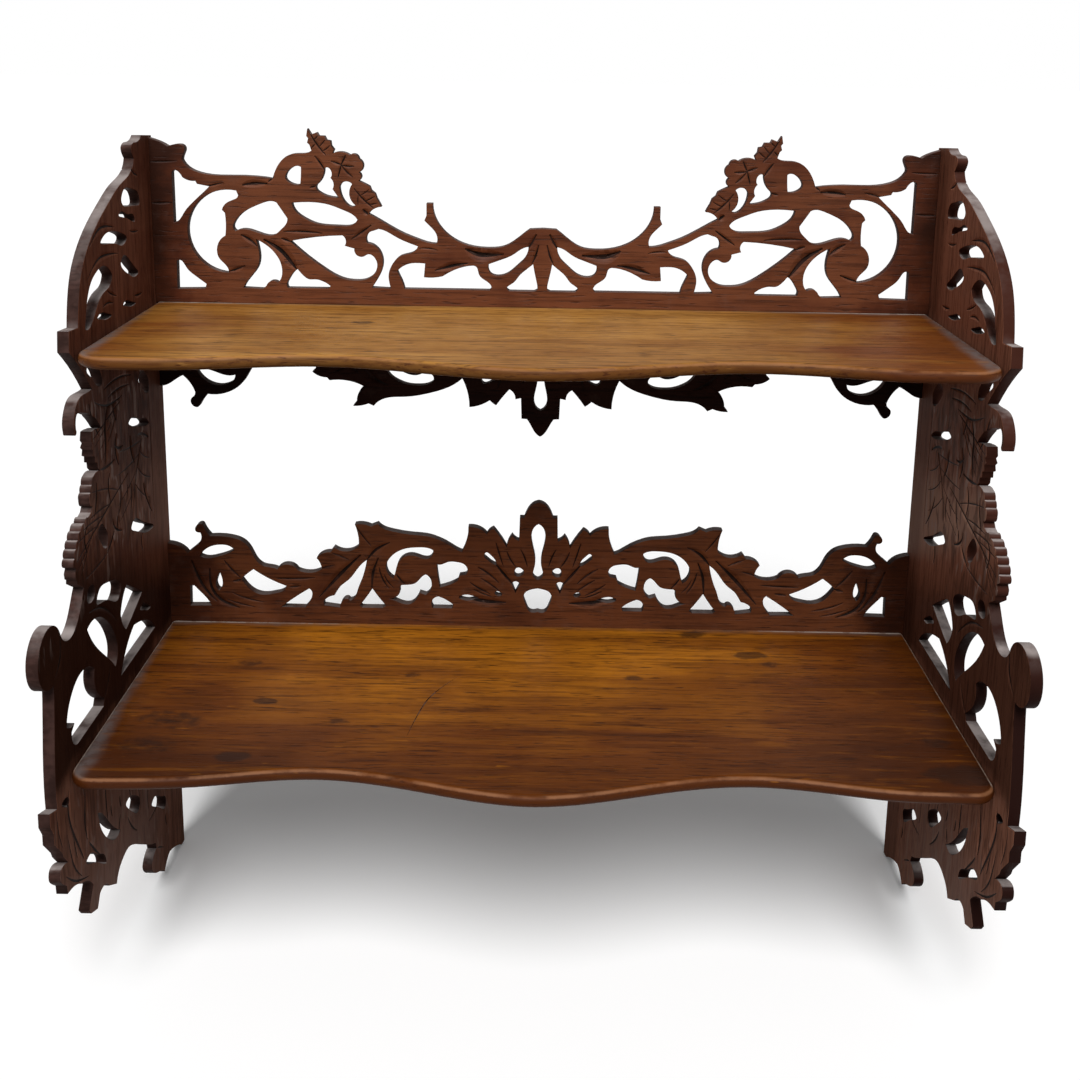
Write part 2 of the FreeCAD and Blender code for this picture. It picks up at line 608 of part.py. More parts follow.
def shelf(name, middle, hollow, shoulder, corner, inset, level):
    body = doc.addObject("PartDesign::Body", name)
    sketch = body.newObject("Sketcher::SketchObject", name + "_plan")
    sketch.AttachmentSupport = [(origin_plane(body, "XY_Plane"), "")]
    sketch.MapMode = "FlatFace"
    edge_x = half_width
    turn_x = half_width - size(inset)
    mid = size(middle)
    low = size(hollow)
    top = size(shoulder)
    end = size(corner)
    right_front = [(flank_x * stretch, flank_back - mid), (hollow_share * half_width, -low),
                   (shoulder_share * half_width, shoulder_back - top), (turn_x, -top)]
    front = [mirrored(p) for p in reversed(right_front)] + [(0, -mid)] + right_front
    left_back = FreeCAD.Vector(-edge_x, 0, 0)
    right_back = FreeCAD.Vector(edge_x, 0, 0)
    left_end = FreeCAD.Vector(-edge_x, -end, 0)
    right_end = FreeCAD.Vector(edge_x, -end, 0)
    nose = Part.BSplineCurve()
    points = [FreeCAD.Vector(x, y, 0) for x, y in front]
    nose.interpolate(Points=points, InitialTangent=to_right, FinalTangent=to_right)
    bend_x = half_width - corner_cut * size(inset)
    bend_y = -top + corner_cut * (top - end)
    left_bend = Part.BSplineCurve()
    left_bend.interpolate(Points=[left_end, FreeCAD.Vector(-bend_x, bend_y, 0), points[0]],
                          InitialTangent=to_front, FinalTangent=to_right)
    right_bend = Part.BSplineCurve()
    right_bend.interpolate(Points=[points[-1], FreeCAD.Vector(bend_x, bend_y, 0), right_end],
                           InitialTangent=to_right, FinalTangent=to_wall)
    sketch.addGeometry(Part.LineSegment(left_back, left_end))
    sketch.addGeometry(left_bend)
    sketch.addGeometry(nose)
    sketch.addGeometry(right_bend)
    sketch.addGeometry(Part.LineSegment(right_end, right_back))
    sketch.addGeometry(Part.LineSegment(right_back, left_back))
    doc.recompute()
    pad = body.newObject("PartDesign::Pad", name + "_pad")
    pad.Profile = sketch
    pad.setExpression("Length", "Sizes.shelf_thickness")
    doc.recompute()
    chosen = []
    slack = 0.01
    for index, edge in enumerate(pad.Shape.Edges, start=1):
        box = edge.BoundBox
        level_edge = box.ZLength < slack and box.XLength > slack
        if level_edge and box.YMax < slack - end:
            chosen.append("Edge%d" % index)
    fillet = body.newObject("PartDesign::Fillet", name + "_nose")
    fillet.Base = (pad, chosen)
    fillet.setExpression("Radius", "Sizes.nose_radius")
    body.Tip = fillet
    body.setExpression("Placement.Base.y", "-Sizes.board_thickness")
    body.setExpression("Placement.Base.z", level)
    doc.recompute()
    return body


upper_plank = shelf("upper_plank", "upper_middle_depth", "upper_hollow_depth", "upper_shoulder_depth",
                    "upper_corner_depth", "upper_corner_inset",
                    "Sizes.upper_level - Sizes.shelf_thickness - Sizes.hanger_level")
lower_plank = shelf("lower_plank", "lower_middle_depth", "lower_hollow_depth", "lower_shoulder_depth",
                    "lower_corner_depth", "lower_corner_inset",
                    "-Sizes.shelf_thickness - Sizes.hanger_level")


# Countersunk screws and dowels: one turned solid each, gathered in groups.

def turned(profile, base, way):
    points = [FreeCAD.Vector(r, 0, h) for r, h in profile]
    face = Part.Face(Part.makePolygon(points + [points[0]]))
    solid = face.revolve(FreeCAD.Vector(0, 0, 0), FreeCAD.Vector(0, 0, 1), 360)
    turn = FreeCAD.Rotation(FreeCAD.Vector(0, 0, 1), way)
    solid.Placement = FreeCAD.Placement(base, turn)
    return solid


def screw(base, way, shank, head, head_depth, length):
    profile = [(0, 0), (head, 0), (shank, head_depth), (shank, length - shank), (0, length)]
    return turned(profile, base, way)


def long_screw(base, way):
    return screw(base, way, size("screw_shank"), size("screw_head"), size("screw_head_depth"),
                 size("screw_length"))


def group(name, solids):
    item = doc.addObject("Part::Feature", name)
    item.Shape = Part.makeCompound(solids)
    return item


outside = half_width + size("side_thickness")
front_y = -size("board_thickness")
mid_y = front_y / 2
upper_mid = upper_z - size("shelf_thickness") / 2
lower_mid = lower_z - size("shelf_thickness") / 2

# Fixing places: forward of the back boards, above or below a shelf top, and out from the middle
upper_shelf_screws = (40, 135)
lower_shelf_screws = (50, 130, 210)
crest_screws = (22, 58)
apron_screw = 44
gallery_screw = 46
back_screw_places = (-200, 0, 200)
dowel_places = (-260, -110, 110, 260)

shelf_solids = []
end_solids = []
end_levels = [upper_z + rise for rise in crest_screws] + [upper_z - apron_screw, lower_z + gallery_screw]
for hand in (-1, 1):
    inward = FreeCAD.Vector(-hand, 0, 0)
    for forward in upper_shelf_screws:
        head = FreeCAD.Vector(hand * outside, front_y - forward, upper_mid)
        shelf_solids.append(long_screw(head, inward))
    for forward in lower_shelf_screws:
        head = FreeCAD.Vector(hand * outside, front_y - forward, lower_mid)
        shelf_solids.append(long_screw(head, inward))
    for z in end_levels:
        end_solids.append(long_screw(FreeCAD.Vector(hand * outside, mid_y, z), inward))
back_solids = []
for x in back_screw_places:
    for z in (upper_mid, lower_mid):
        back_solids.append(long_screw(FreeCAD.Vector(x * stretch, 0, z), to_front))
dowel_reach = size("dowel_length")
dowel_r = size("dowel_radius")
dowel_profile = [(0, 0), (dowel_r, 0), (dowel_r, dowel_reach), (0, dowel_reach)]
dowel_solids = []
for x in dowel_places:
    foot = FreeCAD.Vector(x * stretch, mid_y, upper_z - dowel_reach / 2)
    dowel_solids.append(turned(dowel_profile, foot, FreeCAD.Vector(0, 0, 1)))

shelf_screws = group("shelf_screws", shelf_solids)
end_screws = group("end_screws", end_solids)
back_screws = group("back_screws", back_solids)
gallery_dowels = group("gallery_dowels", dowel_solids)


# Keyhole hangers: a brass plate let in flush, a pocket behind its keyhole, two small screws.

def block(name, width, depth, height, x, y, z):
    item = doc.addObject("Part::Box", name)
    item.setExpression("Length", width)
    item.setExpression("Width", depth)
    item.setExpression("Height", height)
    item.setExpression("Placement.Base.x", x)
    item.setExpression("Placement.Base.y", y)
    item.setExpression("Placement.Base.z", z)
    return item


def round_cut(name, radius, depth, x, y, z):
    item = doc.addObject("Part::Cylinder", name)
    item.Placement = FreeCAD.Placement(FreeCAD.Vector(0, 0, 0), FreeCAD.Rotation(to_right, -90))
    item.setExpression("Radius", radius)
    item.setExpression("Height", depth)
    item.setExpression("Placement.Base.x", x)
    item.setExpression("Placement.Base.y", y)
    item.setExpression("Placement.Base.z", z)
    return item


def fused(name, parts):
    item = doc.addObject("Part::MultiFuse", name)
    item.Shapes = parts
    item.Refine = True
    return item


hanger_solids = []
for hand in (-1, 1):
    for z in (size("hanger_screw_inset"), size("plate_height") - size("hanger_screw_inset")):
        base = FreeCAD.Vector(hand * size("hanger_spacing") / 2, 0, z - size("plate_below_hole"))
        hanger_solids.append(screw(base, to_front, size("hanger_screw_shank"),
                                   size("hanger_screw_head"), size("hanger_screw_head_depth"),
                                   size("hanger_screw_length")))
hanger_screws = group("hanger_screws", hanger_solids)

plates = []
gallery_cutters = []
for word, sign in (("left", "-"), ("right", "")):
    centre = sign + "Sizes.hanger_spacing / 2"
    blank = block(word + "_plate_blank", "Sizes.plate_width", "Sizes.plate_thickness", "Sizes.plate_height",
                  centre + " - Sizes.plate_width / 2", "-Sizes.plate_thickness", "-Sizes.plate_below_hole")
    hole = round_cut(word + "_keyhole", "Sizes.keyhole_radius", "Sizes.plate_thickness", centre,
                     "-Sizes.plate_thickness", "0 mm")
    slot = block(word + "_keyslot", "2 * Sizes.keyslot_radius", "Sizes.plate_thickness",
                 "Sizes.keyslot_rise", centre + " - Sizes.keyslot_radius", "-Sizes.plate_thickness", "0 mm")
    slot_end = round_cut(word + "_keyslot_end", "Sizes.keyslot_radius", "Sizes.plate_thickness", centre,
                         "-Sizes.plate_thickness", "Sizes.keyslot_rise")
    keyhole = fused(word + "_keyhole_shape", [hole, slot, slot_end])
    pierced = cut(word + "_plate_pierced", blank, keyhole)
    plates.append(cut(word + "_hanger_plate", pierced, hanger_screws))
    seat = block(word + "_plate_seat", "Sizes.plate_width", "Sizes.plate_thickness", "Sizes.plate_height",
                 centre + " - Sizes.plate_width / 2", "-Sizes.plate_thickness", "-Sizes.plate_below_hole")
    whole_depth = "Sizes.pocket_depth + Sizes.plate_thickness"
    deep = "-Sizes.plate_thickness - Sizes.pocket_depth"
    low = round_cut(word + "_pocket_low", "Sizes.pocket_radius", whole_depth, centre, deep, "0 mm")
    high = round_cut(word + "_pocket_high", "Sizes.pocket_radius", whole_depth, centre, deep,
                     "Sizes.keyslot_rise")
    middle = block(word + "_pocket_middle", "2 * Sizes.pocket_radius", whole_depth,
                   "Sizes.keyslot_rise", centre + " - Sizes.pocket_radius", deep, "0 mm")
    gallery_cutters.append(fused(word + "_hanger_seat", [seat, low, high, middle]))

# Holes for the fixings, cut to the fixings' own shape.

left_panel = cut("left_panel_holes", left_board, shelf_screws)
left_side_panel = cut("left_side_panel", left_panel, end_screws)
right_panel = cut("right_panel_holes", right_board, shelf_screws)
right_side_panel = cut("right_side_panel", right_panel, end_screws)
upper_drilled = cut("upper_shelf_drilled", upper_plank, shelf_screws)
upper_shelf = cut("upper_shelf", upper_drilled, back_screws)
lower_drilled = cut("lower_shelf_drilled", lower_plank, shelf_screws)
lower_shelf = cut("lower_shelf", lower_drilled, back_screws)
crest_drilled = cut("crest_drilled", crest_board, end_screws)
crest_dowelled = cut("crest_dowelled", crest_drilled, gallery_dowels)
crest_left = cut("crest_left_seat", crest_dowelled, gallery_cutters[0])
crest_right = cut("crest_right_seat", crest_left, gallery_cutters[1])
upper_gallery = cut("upper_gallery", crest_right, hanger_screws)
apron_drilled = cut("apron_drilled", apron_board, end_screws)
apron_dowelled = cut("apron_dowelled", apron_drilled, gallery_dowels)
upper_apron = cut("upper_apron", apron_dowelled, back_screws)
gallery_drilled = cut("gallery_drilled", gallery_board, end_screws)
lower_gallery = cut("lower_gallery", gallery_drilled, back_screws)
doc.recompute()

pieces = [left_side_panel, right_side_panel, upper_shelf, lower_shelf, upper_gallery, upper_apron,
          lower_gallery, shelf_screws, end_screws, back_screws, gallery_dowels, plates[0], plates[1],
          hanger_screws]
for item in doc.Objects:
    if "Invalid" in item.State or "Error" in item.State:
        raise RuntimeError("object in error: " + item.Name)
os.makedirs("parts", exist_ok=True)
for item in pieces:
    item.Label = item.Name
    if item.Shape.isNull() or not item.Shape.isValid():
        raise RuntimeError("bad shape: " + item.Name)
    item.Shape.exportStep("parts/" + item.Label + ".step")
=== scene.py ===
import math

import bmesh
import bpy
import numpy as np
from mathutils import Matrix, Vector
from mathutils.geometry import delaunay_2d_cdt


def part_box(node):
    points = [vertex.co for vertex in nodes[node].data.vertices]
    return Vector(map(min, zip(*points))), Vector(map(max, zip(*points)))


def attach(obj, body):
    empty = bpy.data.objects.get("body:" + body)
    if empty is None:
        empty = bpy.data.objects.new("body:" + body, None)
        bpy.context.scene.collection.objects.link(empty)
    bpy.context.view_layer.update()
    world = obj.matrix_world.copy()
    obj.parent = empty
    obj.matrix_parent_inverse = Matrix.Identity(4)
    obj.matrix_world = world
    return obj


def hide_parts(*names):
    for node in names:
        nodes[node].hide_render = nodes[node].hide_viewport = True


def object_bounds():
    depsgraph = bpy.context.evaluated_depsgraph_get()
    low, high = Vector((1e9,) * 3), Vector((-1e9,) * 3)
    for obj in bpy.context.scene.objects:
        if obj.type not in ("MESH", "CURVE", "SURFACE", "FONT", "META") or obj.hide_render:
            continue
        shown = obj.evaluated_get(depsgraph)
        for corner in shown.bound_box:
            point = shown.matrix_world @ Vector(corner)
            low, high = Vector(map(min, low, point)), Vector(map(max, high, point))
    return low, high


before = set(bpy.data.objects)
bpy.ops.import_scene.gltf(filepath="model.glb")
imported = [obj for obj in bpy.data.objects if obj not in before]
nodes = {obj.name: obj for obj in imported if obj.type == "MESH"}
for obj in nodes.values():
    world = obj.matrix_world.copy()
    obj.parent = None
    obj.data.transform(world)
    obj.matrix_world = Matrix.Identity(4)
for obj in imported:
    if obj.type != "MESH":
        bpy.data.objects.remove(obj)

cad_low, cad_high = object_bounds()
scene = bpy.context.scene
MM = 0.001

# Levels and faces that everything is placed by, read from the frame
UPPER_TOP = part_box("upper_shelf")[1].z
LOWER_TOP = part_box("lower_shelf")[1].z
BOARD_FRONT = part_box("upper_gallery")[0].y
INNER_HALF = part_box("lower_shelf")[1].x
OUTER_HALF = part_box("right_side_panel")[1].x
FLOOR_LEVEL = cad_low.z - 1 * MM


# Shader sums

class Wire:
    """The value of one node socket, which can be added, multiplied and so on."""

    def __init__(self, finish, socket):
        self.finish = finish
        self.socket = socket

    def __add__(self, other):
        return self.finish.sum("ADD", self, other)

    def __sub__(self, other):
        return self.finish.sum("SUBTRACT", self, other)

    def __rsub__(self, other):
        return self.finish.sum("SUBTRACT", other, self)

    def __mul__(self, other):
        return self.finish.sum("MULTIPLY", self, other)

    __radd__ = __add__
    __rmul__ = __mul__


class Finish:
    """One material and the nodes that make it."""

    def __init__(self, name):
        self.material = bpy.data.materials.new(name)
        self.material.use_nodes = True
        self.tree = self.material.node_tree
        self.tree.nodes.clear()
        self.place = self.node("ShaderNodeTexCoord", {}, {}, "Object")

    def node(self, kind, settings, sockets, output=0):
        made = self.tree.nodes.new(kind)
        for key, value in settings.items():
            if key == "stops":
                ramp = made.color_ramp.elements
                while len(ramp) < len(value):
                    ramp.new(0.5)
                for stop, (position, colour) in zip(ramp, value):
                    stop.position = position
                    stop.color = (*colour, 1)
            else:
                setattr(made, key, value)
        for key, value in sockets.items():
            socket = made.inputs[key]
            if isinstance(value, Wire):
                self.tree.links.new(value.socket, socket)
            elif isinstance(value, tuple) and len(value) == 3 and socket.type == "RGBA":
                socket.default_value = (*value, 1)
            else:
                socket.default_value = value
        return Wire(self, made.outputs[output])

    def sum(self, operation, first, second):
        return self.node("ShaderNodeMath", {"operation": operation}, {0: first, 1: second})

    def axis(self, letter, of=None):
        return self.node("ShaderNodeSeparateXYZ", {}, {0: of or self.place}, letter)

    def off_middle(self):
        return self.sum("ABSOLUTE", self.axis("X"), 0)

    def facing_up(self):
        """One on level ground, nought on a wall."""
        return self.axis("Z", self.node("ShaderNodeNewGeometry", {}, {}, "Normal"))

    def drawn_out(self, scale, turn=(0, 0, 0)):
        return self.node("ShaderNodeMapping", {}, {"Vector": self.place, "Scale": scale, "Rotation": turn})

    def noise(self, scale=1.0, detail=3.0, place=None, roughness=0.55, distortion=0.0):
        return self.node("ShaderNodeTexNoise", {}, {
            "Vector": place or self.place, "Scale": scale, "Detail": detail,
            "Roughness": roughness, "Distortion": distortion})

    def ragged(self, value, noise, reach):
        """A distance whose level lines wander with a noise."""
        return value + (noise - 0.5) * reach

    def fade(self, value, low, high):
        return self.node("ShaderNodeMapRange", {"interpolation_type": "SMOOTHSTEP"}, {
            "Value": value, "From Min": low, "From Max": high})

    def mix(self, factor, first, second):
        return self.node("ShaderNodeMix", {"data_type": "RGBA"}, {0: factor, 6: first, 7: second}, 2)

    def ramp(self, factor, stops):
        return self.node("ShaderNodeValToRGB", {"stops": stops}, {0: factor})

    def bump(self, height, distance, strength):
        return self.node("ShaderNodeBump", {}, {
            "Height": height, "Distance": distance, "Strength": strength})

    def surface(self, sockets):
        return self.ended(self.node("ShaderNodeBsdfPrincipled", {}, sockets))

    def ended(self, shader):
        end = self.tree.nodes.new("ShaderNodeOutputMaterial")
        self.tree.links.new(shader.socket, end.inputs["Surface"])
        return self.material


def along(axis, slow, fast):
    """Stretch for a grain that runs along one axis: slow along it, fast across."""
    return tuple(slow if letter == axis else fast for letter in "XYZ")


def shaded(colour, share):
    return tuple(share * part for part in colour)


# Finishes. Colours are linear, and a noise's scale is in cells per metre.

STAIN = (0.018, 0.007, 0.004)
NOSE_RUB_AND_HIGHLIGHT = (0.3, 0.132, 0.06)
LOOSE_DUST = (0.13, 0.105, 0.1)
PACKED_DUST = (0.4, 0.33, 0.28)
HAZE = (0.14, 0.09, 0.075)
LOW_FRONT_TONE = (0.3, 0.185, 0.15)
PAINTED_SHEEN_TONE = (0.44, 0.262, 0.19)
FACET_HIGHLIGHT_AND_CHALK = (0.36, 0.27, 0.235)
RED_EDGE = (0.05, 0.015, 0.009)
LOW_EDGE_TONE = (0.014, 0.005, 0.004)
EDGE_DUST_AND_REFLECTION = (0.2, 0.165, 0.155)
LEDGE_DUST = (0.36, 0.31, 0.295)
GROOVE_DIRT = [(0.006, 0.003, 0.002), (0.026, 0.011, 0.008)]
GROOVE_DUST = (0.16, 0.11, 0.09)
BEECH = [(0.36, 0.22, 0.11), (0.25, 0.14, 0.065)]
BEECH_PORE = (0.1, 0.05, 0.025)


def grain(finish, axis):
    """Bands, fibres and pores of a wood whose grain runs along one axis."""
    figure = finish.noise(place=finish.drawn_out(along(axis, 2.6, 34)), detail=5, distortion=0.7)
    fibre = finish.noise(place=finish.drawn_out(along(axis, 15, 360)), detail=4, roughness=0.65)
    pore = finish.noise(place=finish.drawn_out(along(axis, 48, 620)), detail=2)
    return figure, fibre, finish.fade(pore, 0.58, 0.68)


def spot(finish, x, y, size):
    """A soft oval mark on a shelf, placed in millimetres from its middle and its back edge."""
    away_x = finish.axis("X") - x * MM
    away_y = finish.axis("Y") - (BOARD_FRONT - y * MM)
    squared = away_x * away_x * 0.4 + away_y * away_y * 1.6
    return 1 - finish.fade(squared, 0.0, (size * MM) ** 2)


def stained(finish, marks):
    """Where old stains darken a shelf."""
    total = 0.0
    for x, y, size, weight in marks:
        total = spot(finish, x, y, size) * weight + total
    return finish.fade(finish.ragged(total, finish.noise(120, 5), 1.1), 0.3, 0.8)


def shelf_dust(finish, depth, end, lee):
    """Loose dust along a shelf's ends and back, and the pale line of dust packed in its joints.
    The lee is how much further in the loose dust reaches at the right end."""
    y = finish.axis("Y")
    off_middle = finish.off_middle()
    level = finish.fade(finish.facing_up(), 0.6, 0.9)
    speckle = finish.noise(150, 5)
    reach = finish.ragged(off_middle, finish.noise(26, 4), 10 * MM)
    reach = reach + lee * finish.fade(finish.axis("X"), -100 * MM, 100 * MM)
    reach = reach + 8 * MM * finish.fade(BOARD_FRONT - y, 0.0, depth)
    at_end = finish.fade(reach, INNER_HALF - 8 * MM, INNER_HALF + 3 * MM)
    from_back = finish.ragged(y, finish.noise(30, 4), 12 * MM)
    at_back = finish.fade(from_back, BOARD_FRONT - 9 * MM, BOARD_FRONT)
    loose = finish.sum("MAXIMUM", at_end, at_back * (0.2 + 0.8 * end)) * level
    loose = loose * (0.55 + 0.45 * finish.fade(speckle, 0.36, 0.6))
    waver = finish.noise(60, 3)
    side_joint = finish.ragged(off_middle, waver, 1.6 * MM)
    side_joint = finish.fade(side_joint, INNER_HALF - 2.8 * MM, INNER_HALF - 1.6 * MM)
    back_joint = finish.ragged(y, waver, 1.6 * MM)
    back_joint = finish.fade(back_joint, BOARD_FRONT - 2.6 * MM, BOARD_FRONT - 1.2 * MM)
    near_end = finish.ragged(off_middle, finish.noise(9, 3), 200 * MM)
    back_joint = back_joint * finish.fade(near_end, 170 * MM, 270 * MM)
    packed = finish.sum("MAXIMUM", side_joint, back_joint) * level
    packed = packed * (0.4 + 0.6 * finish.fade(speckle, 0.38, 0.52))
    return loose, packed


def shelf_finish(name, tones, marks, depth, ends, fronts, streaks, lee):
    """Waxed shelf wood: golden in the middle, darker towards ends and front, stained and dusty, with
    painted shade and a rub with a painted highlight on its nose.
    """
    finish = Finish(name)
    gold, amber, brown, umber = tones
    figure, fibre, pore = grain(finish, "X")
    cloud = finish.noise(15, 6, roughness=0.62)
    end = finish.ragged(finish.off_middle(), finish.noise(7, 4), 200 * MM)
    end = finish.fade(end, 100 * MM, INNER_HALF)
    front = finish.ragged(BOARD_FRONT - finish.axis("Y"), finish.noise(8, 4), 160 * MM)
    front = finish.fade(front, 0.16 * depth, 1.02 * depth)
    age = 0.75 * figure + 0.55 * cloud + ends * end + fronts * front + 0.35 * finish.axis("X") - 0.5
    base = finish.ramp(age, [(0.0, gold), (0.3, amber), (0.6, brown), (1.0, umber)])
    base = finish.mix(finish.fade(fibre, 0.44, 0.66) * 0.55, base, umber)
    base = finish.mix(pore * 0.8, base, shaded(umber, 0.5))
    drawn = finish.drawn_out(along("X", 9, 95))
    streak = finish.noise(place=drawn, detail=6, roughness=0.7, distortion=0.5)
    base = finish.mix(finish.fade(streak, 0.52, 0.68) * streaks, base, shaded(umber, 0.7))
    base = finish.mix(finish.fade(0.48 - streak, 0.0, 0.16) * (0.7 * streaks), base, amber)
    stain = stained(finish, marks)
    base = finish.mix(stain * 0.7, base, STAIN)
    up = finish.facing_up()
    # Painted shade: faces turned away from straight up, the front and underside of the nose, are darkened.
    base = finish.mix(finish.fade(0.96 - up, 0.05, 0.55) * 0.72, base, umber)
    # A rub and a painted highlight along the upper curve of the nose.
    nose = finish.fade(up, 0.45, 0.7) - finish.fade(up, 0.82, 0.98)
    rub_and_highlight = nose * finish.fade(finish.noise(40, 4), 0.3, 0.6)
    base = finish.mix(rub_and_highlight * 0.6, base, NOSE_RUB_AND_HIGHLIGHT)
    loose, packed = shelf_dust(finish, depth, end, lee)
    base = finish.mix(loose * 0.8, base, LOOSE_DUST)
    base = finish.mix(packed * 0.9, base, PACKED_DUST)
    scratch = finish.noise(place=finish.drawn_out((35, 260, 260), (0, 0, 0.5)), detail=2)
    base = finish.mix(finish.fade(scratch, 0.7, 0.76) * 0.3, base, gold)
    rough = 0.36 + 0.2 * cloud + 0.14 * fibre + 0.35 * loose
    height = 0.6 * fibre + 0.5 * cloud - 0.7 * pore - 0.3 * stain
    return finish.surface({
        "Base Color": base, "Roughness": rough, "Normal": finish.bump(height, 0.35 * MM, 0.5),
        "Specular IOR Level": 0.09})


def fret_wood(finish, axis, light, dark, cloud, painted_light_and_shade, painted_lit_side=None):
    """Red-brown wood with dark pores and dirt in clouds: its colour, its roughness and its height."""
    figure, fibre, pore = grain(finish, axis)
    # The shift makes the wood darker for painted shade and lighter for painted light.
    age = 0.8 * figure + 0.7 * cloud + 0.7 * finish.noise(8, 3) + painted_light_and_shade - 0.7
    base = finish.ramp(age, [
        (0.0, shaded(light, 1.25)), (0.35, light), (0.65, dark), (1.0, shaded(dark, 0.3))])
    # Painted light: a share of a much lighter tone where a side is painted as lit.
    if painted_lit_side is not None:
        base = finish.mix(painted_lit_side, base, shaded(light, 1.9))
    base = finish.mix(finish.fade(fibre, 0.45, 0.68) * 0.55, base, shaded(dark, 0.35))
    base = finish.mix(pore * 0.6, base, shaded(dark, 0.15))
    base = finish.mix(finish.fade(finish.noise(70, 5), 0.55, 0.75) * 0.1, base, HAZE)
    rough = 0.34 + 0.22 * cloud + 0.12 * fibre
    height = 0.6 * fibre + 0.7 * cloud - 0.6 * pore
    return base, rough, height


def fret_surface(finish, base, rough, height, gloss):
    return finish.surface({
        "Base Color": base, "Roughness": rough, "Normal": finish.bump(height, 0.5 * MM, 0.6),
        "Specular IOR Level": gloss})


def board_finish(name, light, dark, end_shade, gloss):
    """Broad face of a back board, darker towards its ends with painted shade in the corners by the side
    boards.
    """
    finish = Finish(name)
    cloud = finish.noise(24, 6, roughness=0.62)
    # Painted shade towards the ends, in the corners by the side boards.
    end = finish.fade(finish.ragged(finish.off_middle(), cloud, 50 * MM), 240 * MM, 315 * MM)
    base, rough, height = fret_wood(finish, "X", light, dark, cloud, end_shade * end)
    return fret_surface(finish, base, rough, height, gloss)


def panel_finish(name, light, dark, zone_strength, gloss):
    """Broad face of a side board: lighter low down towards the front, with painted shade above the lower
    shelf, below the upper one and by the back boards on the right side, a band of painted sheen that rises
    towards the front, painted light on the right side, and painted highlights and shade of carved facets
    where the leaves are."""
    finish = Finish(name)
    cloud = finish.noise(24, 6, roughness=0.62)
    # Painted light: the right side board is made lighter and the left darker, as lit from the left.
    right = finish.fade(finish.axis("X"), -300 * MM, 300 * MM)
    painted_light_and_shade = (0.12 - 0.8 * right) * zone_strength
    base, rough, height = fret_wood(finish, "Z", light, dark, cloud, painted_light_and_shade, right * (0.6 * zone_strength))
    level = finish.axis("Z") - LOWER_TOP
    forward = BOARD_FRONT - finish.axis("Y")
    above = finish.ragged(level, cloud, 30 * MM)
    rising = above - 0.2 * forward
    steep = above - 0.44 * forward
    # Lighter low down and towards the front.
    low_front_zone = finish.fade(finish.ragged(0 - level, cloud, 100 * MM), 20 * MM, 160 * MM)
    low_front_zone = low_front_zone * finish.fade(finish.ragged(forward, cloud, 40 * MM), 20 * MM, 130 * MM)
    # Painted shade just below the upper shelf.
    shade_under_upper_shelf = finish.fade(rising, 130 * MM, 170 * MM) - finish.fade(above, 225 * MM, 245 * MM)
    # Painted sheen: a pale band of reflected light that rises towards the front, strongest on the right.
    painted_sheen_band = finish.fade(steep, 60 * MM, 85 * MM) - finish.fade(rising, 125 * MM, 165 * MM)
    # Painted shade on the right side board's strip next to the back boards, in the corner.
    rear_corner_shade = 1 - finish.fade(forward, 18 * MM, 34 * MM)
    # Painted shade just above the lower shelf, deeper on the left.
    shade_above_lower_shelf = (1 - finish.fade(steep, 20 * MM, 70 * MM)) * finish.fade(above, -10 * MM, 6 * MM)
    for zone, tone in (
            (low_front_zone, LOW_FRONT_TONE),
            (shade_under_upper_shelf * 0.5, shaded(dark, 0.4)),
            (painted_sheen_band * (0.25 + 0.75 * right), PAINTED_SHEEN_TONE),
            (rear_corner_shade * right * 0.55, shaded(dark, 0.5)),
            (shade_above_lower_shelf * (1.2 - 0.35 * right), shaded(dark, 0.2))):
        base = finish.mix(zone * zone_strength, base, tone)
    # Painted shade and highlights of carved facets where the leaves are, with a matching bump; the pale
    # flecks are also chalky residue.
    facet_light_and_shade = finish.noise(place=finish.drawn_out((130, 130, 40)), detail=1, distortion=0.6)
    leaves = finish.fade(above, 85 * MM, 115 * MM) - finish.fade(above, 230 * MM, 250 * MM)
    leaves = leaves + 0.4 * finish.fade(0 - above, 0.0, 30 * MM)
    carved = finish.fade(forward, 22 * MM, 40 * MM) * leaves * zone_strength
    base = finish.mix(finish.fade(0.48 - facet_light_and_shade, 0.0, 0.12) * carved * 0.7, base, shaded(dark, 0.25))
    base = finish.mix(finish.fade(facet_light_and_shade, 0.6, 0.68) * carved * 0.7, base, FACET_HIGHLIGHT_AND_CHALK)
    return fret_surface(finish, base, rough, height + 3.4 * carved * facet_light_and_shade, gloss)


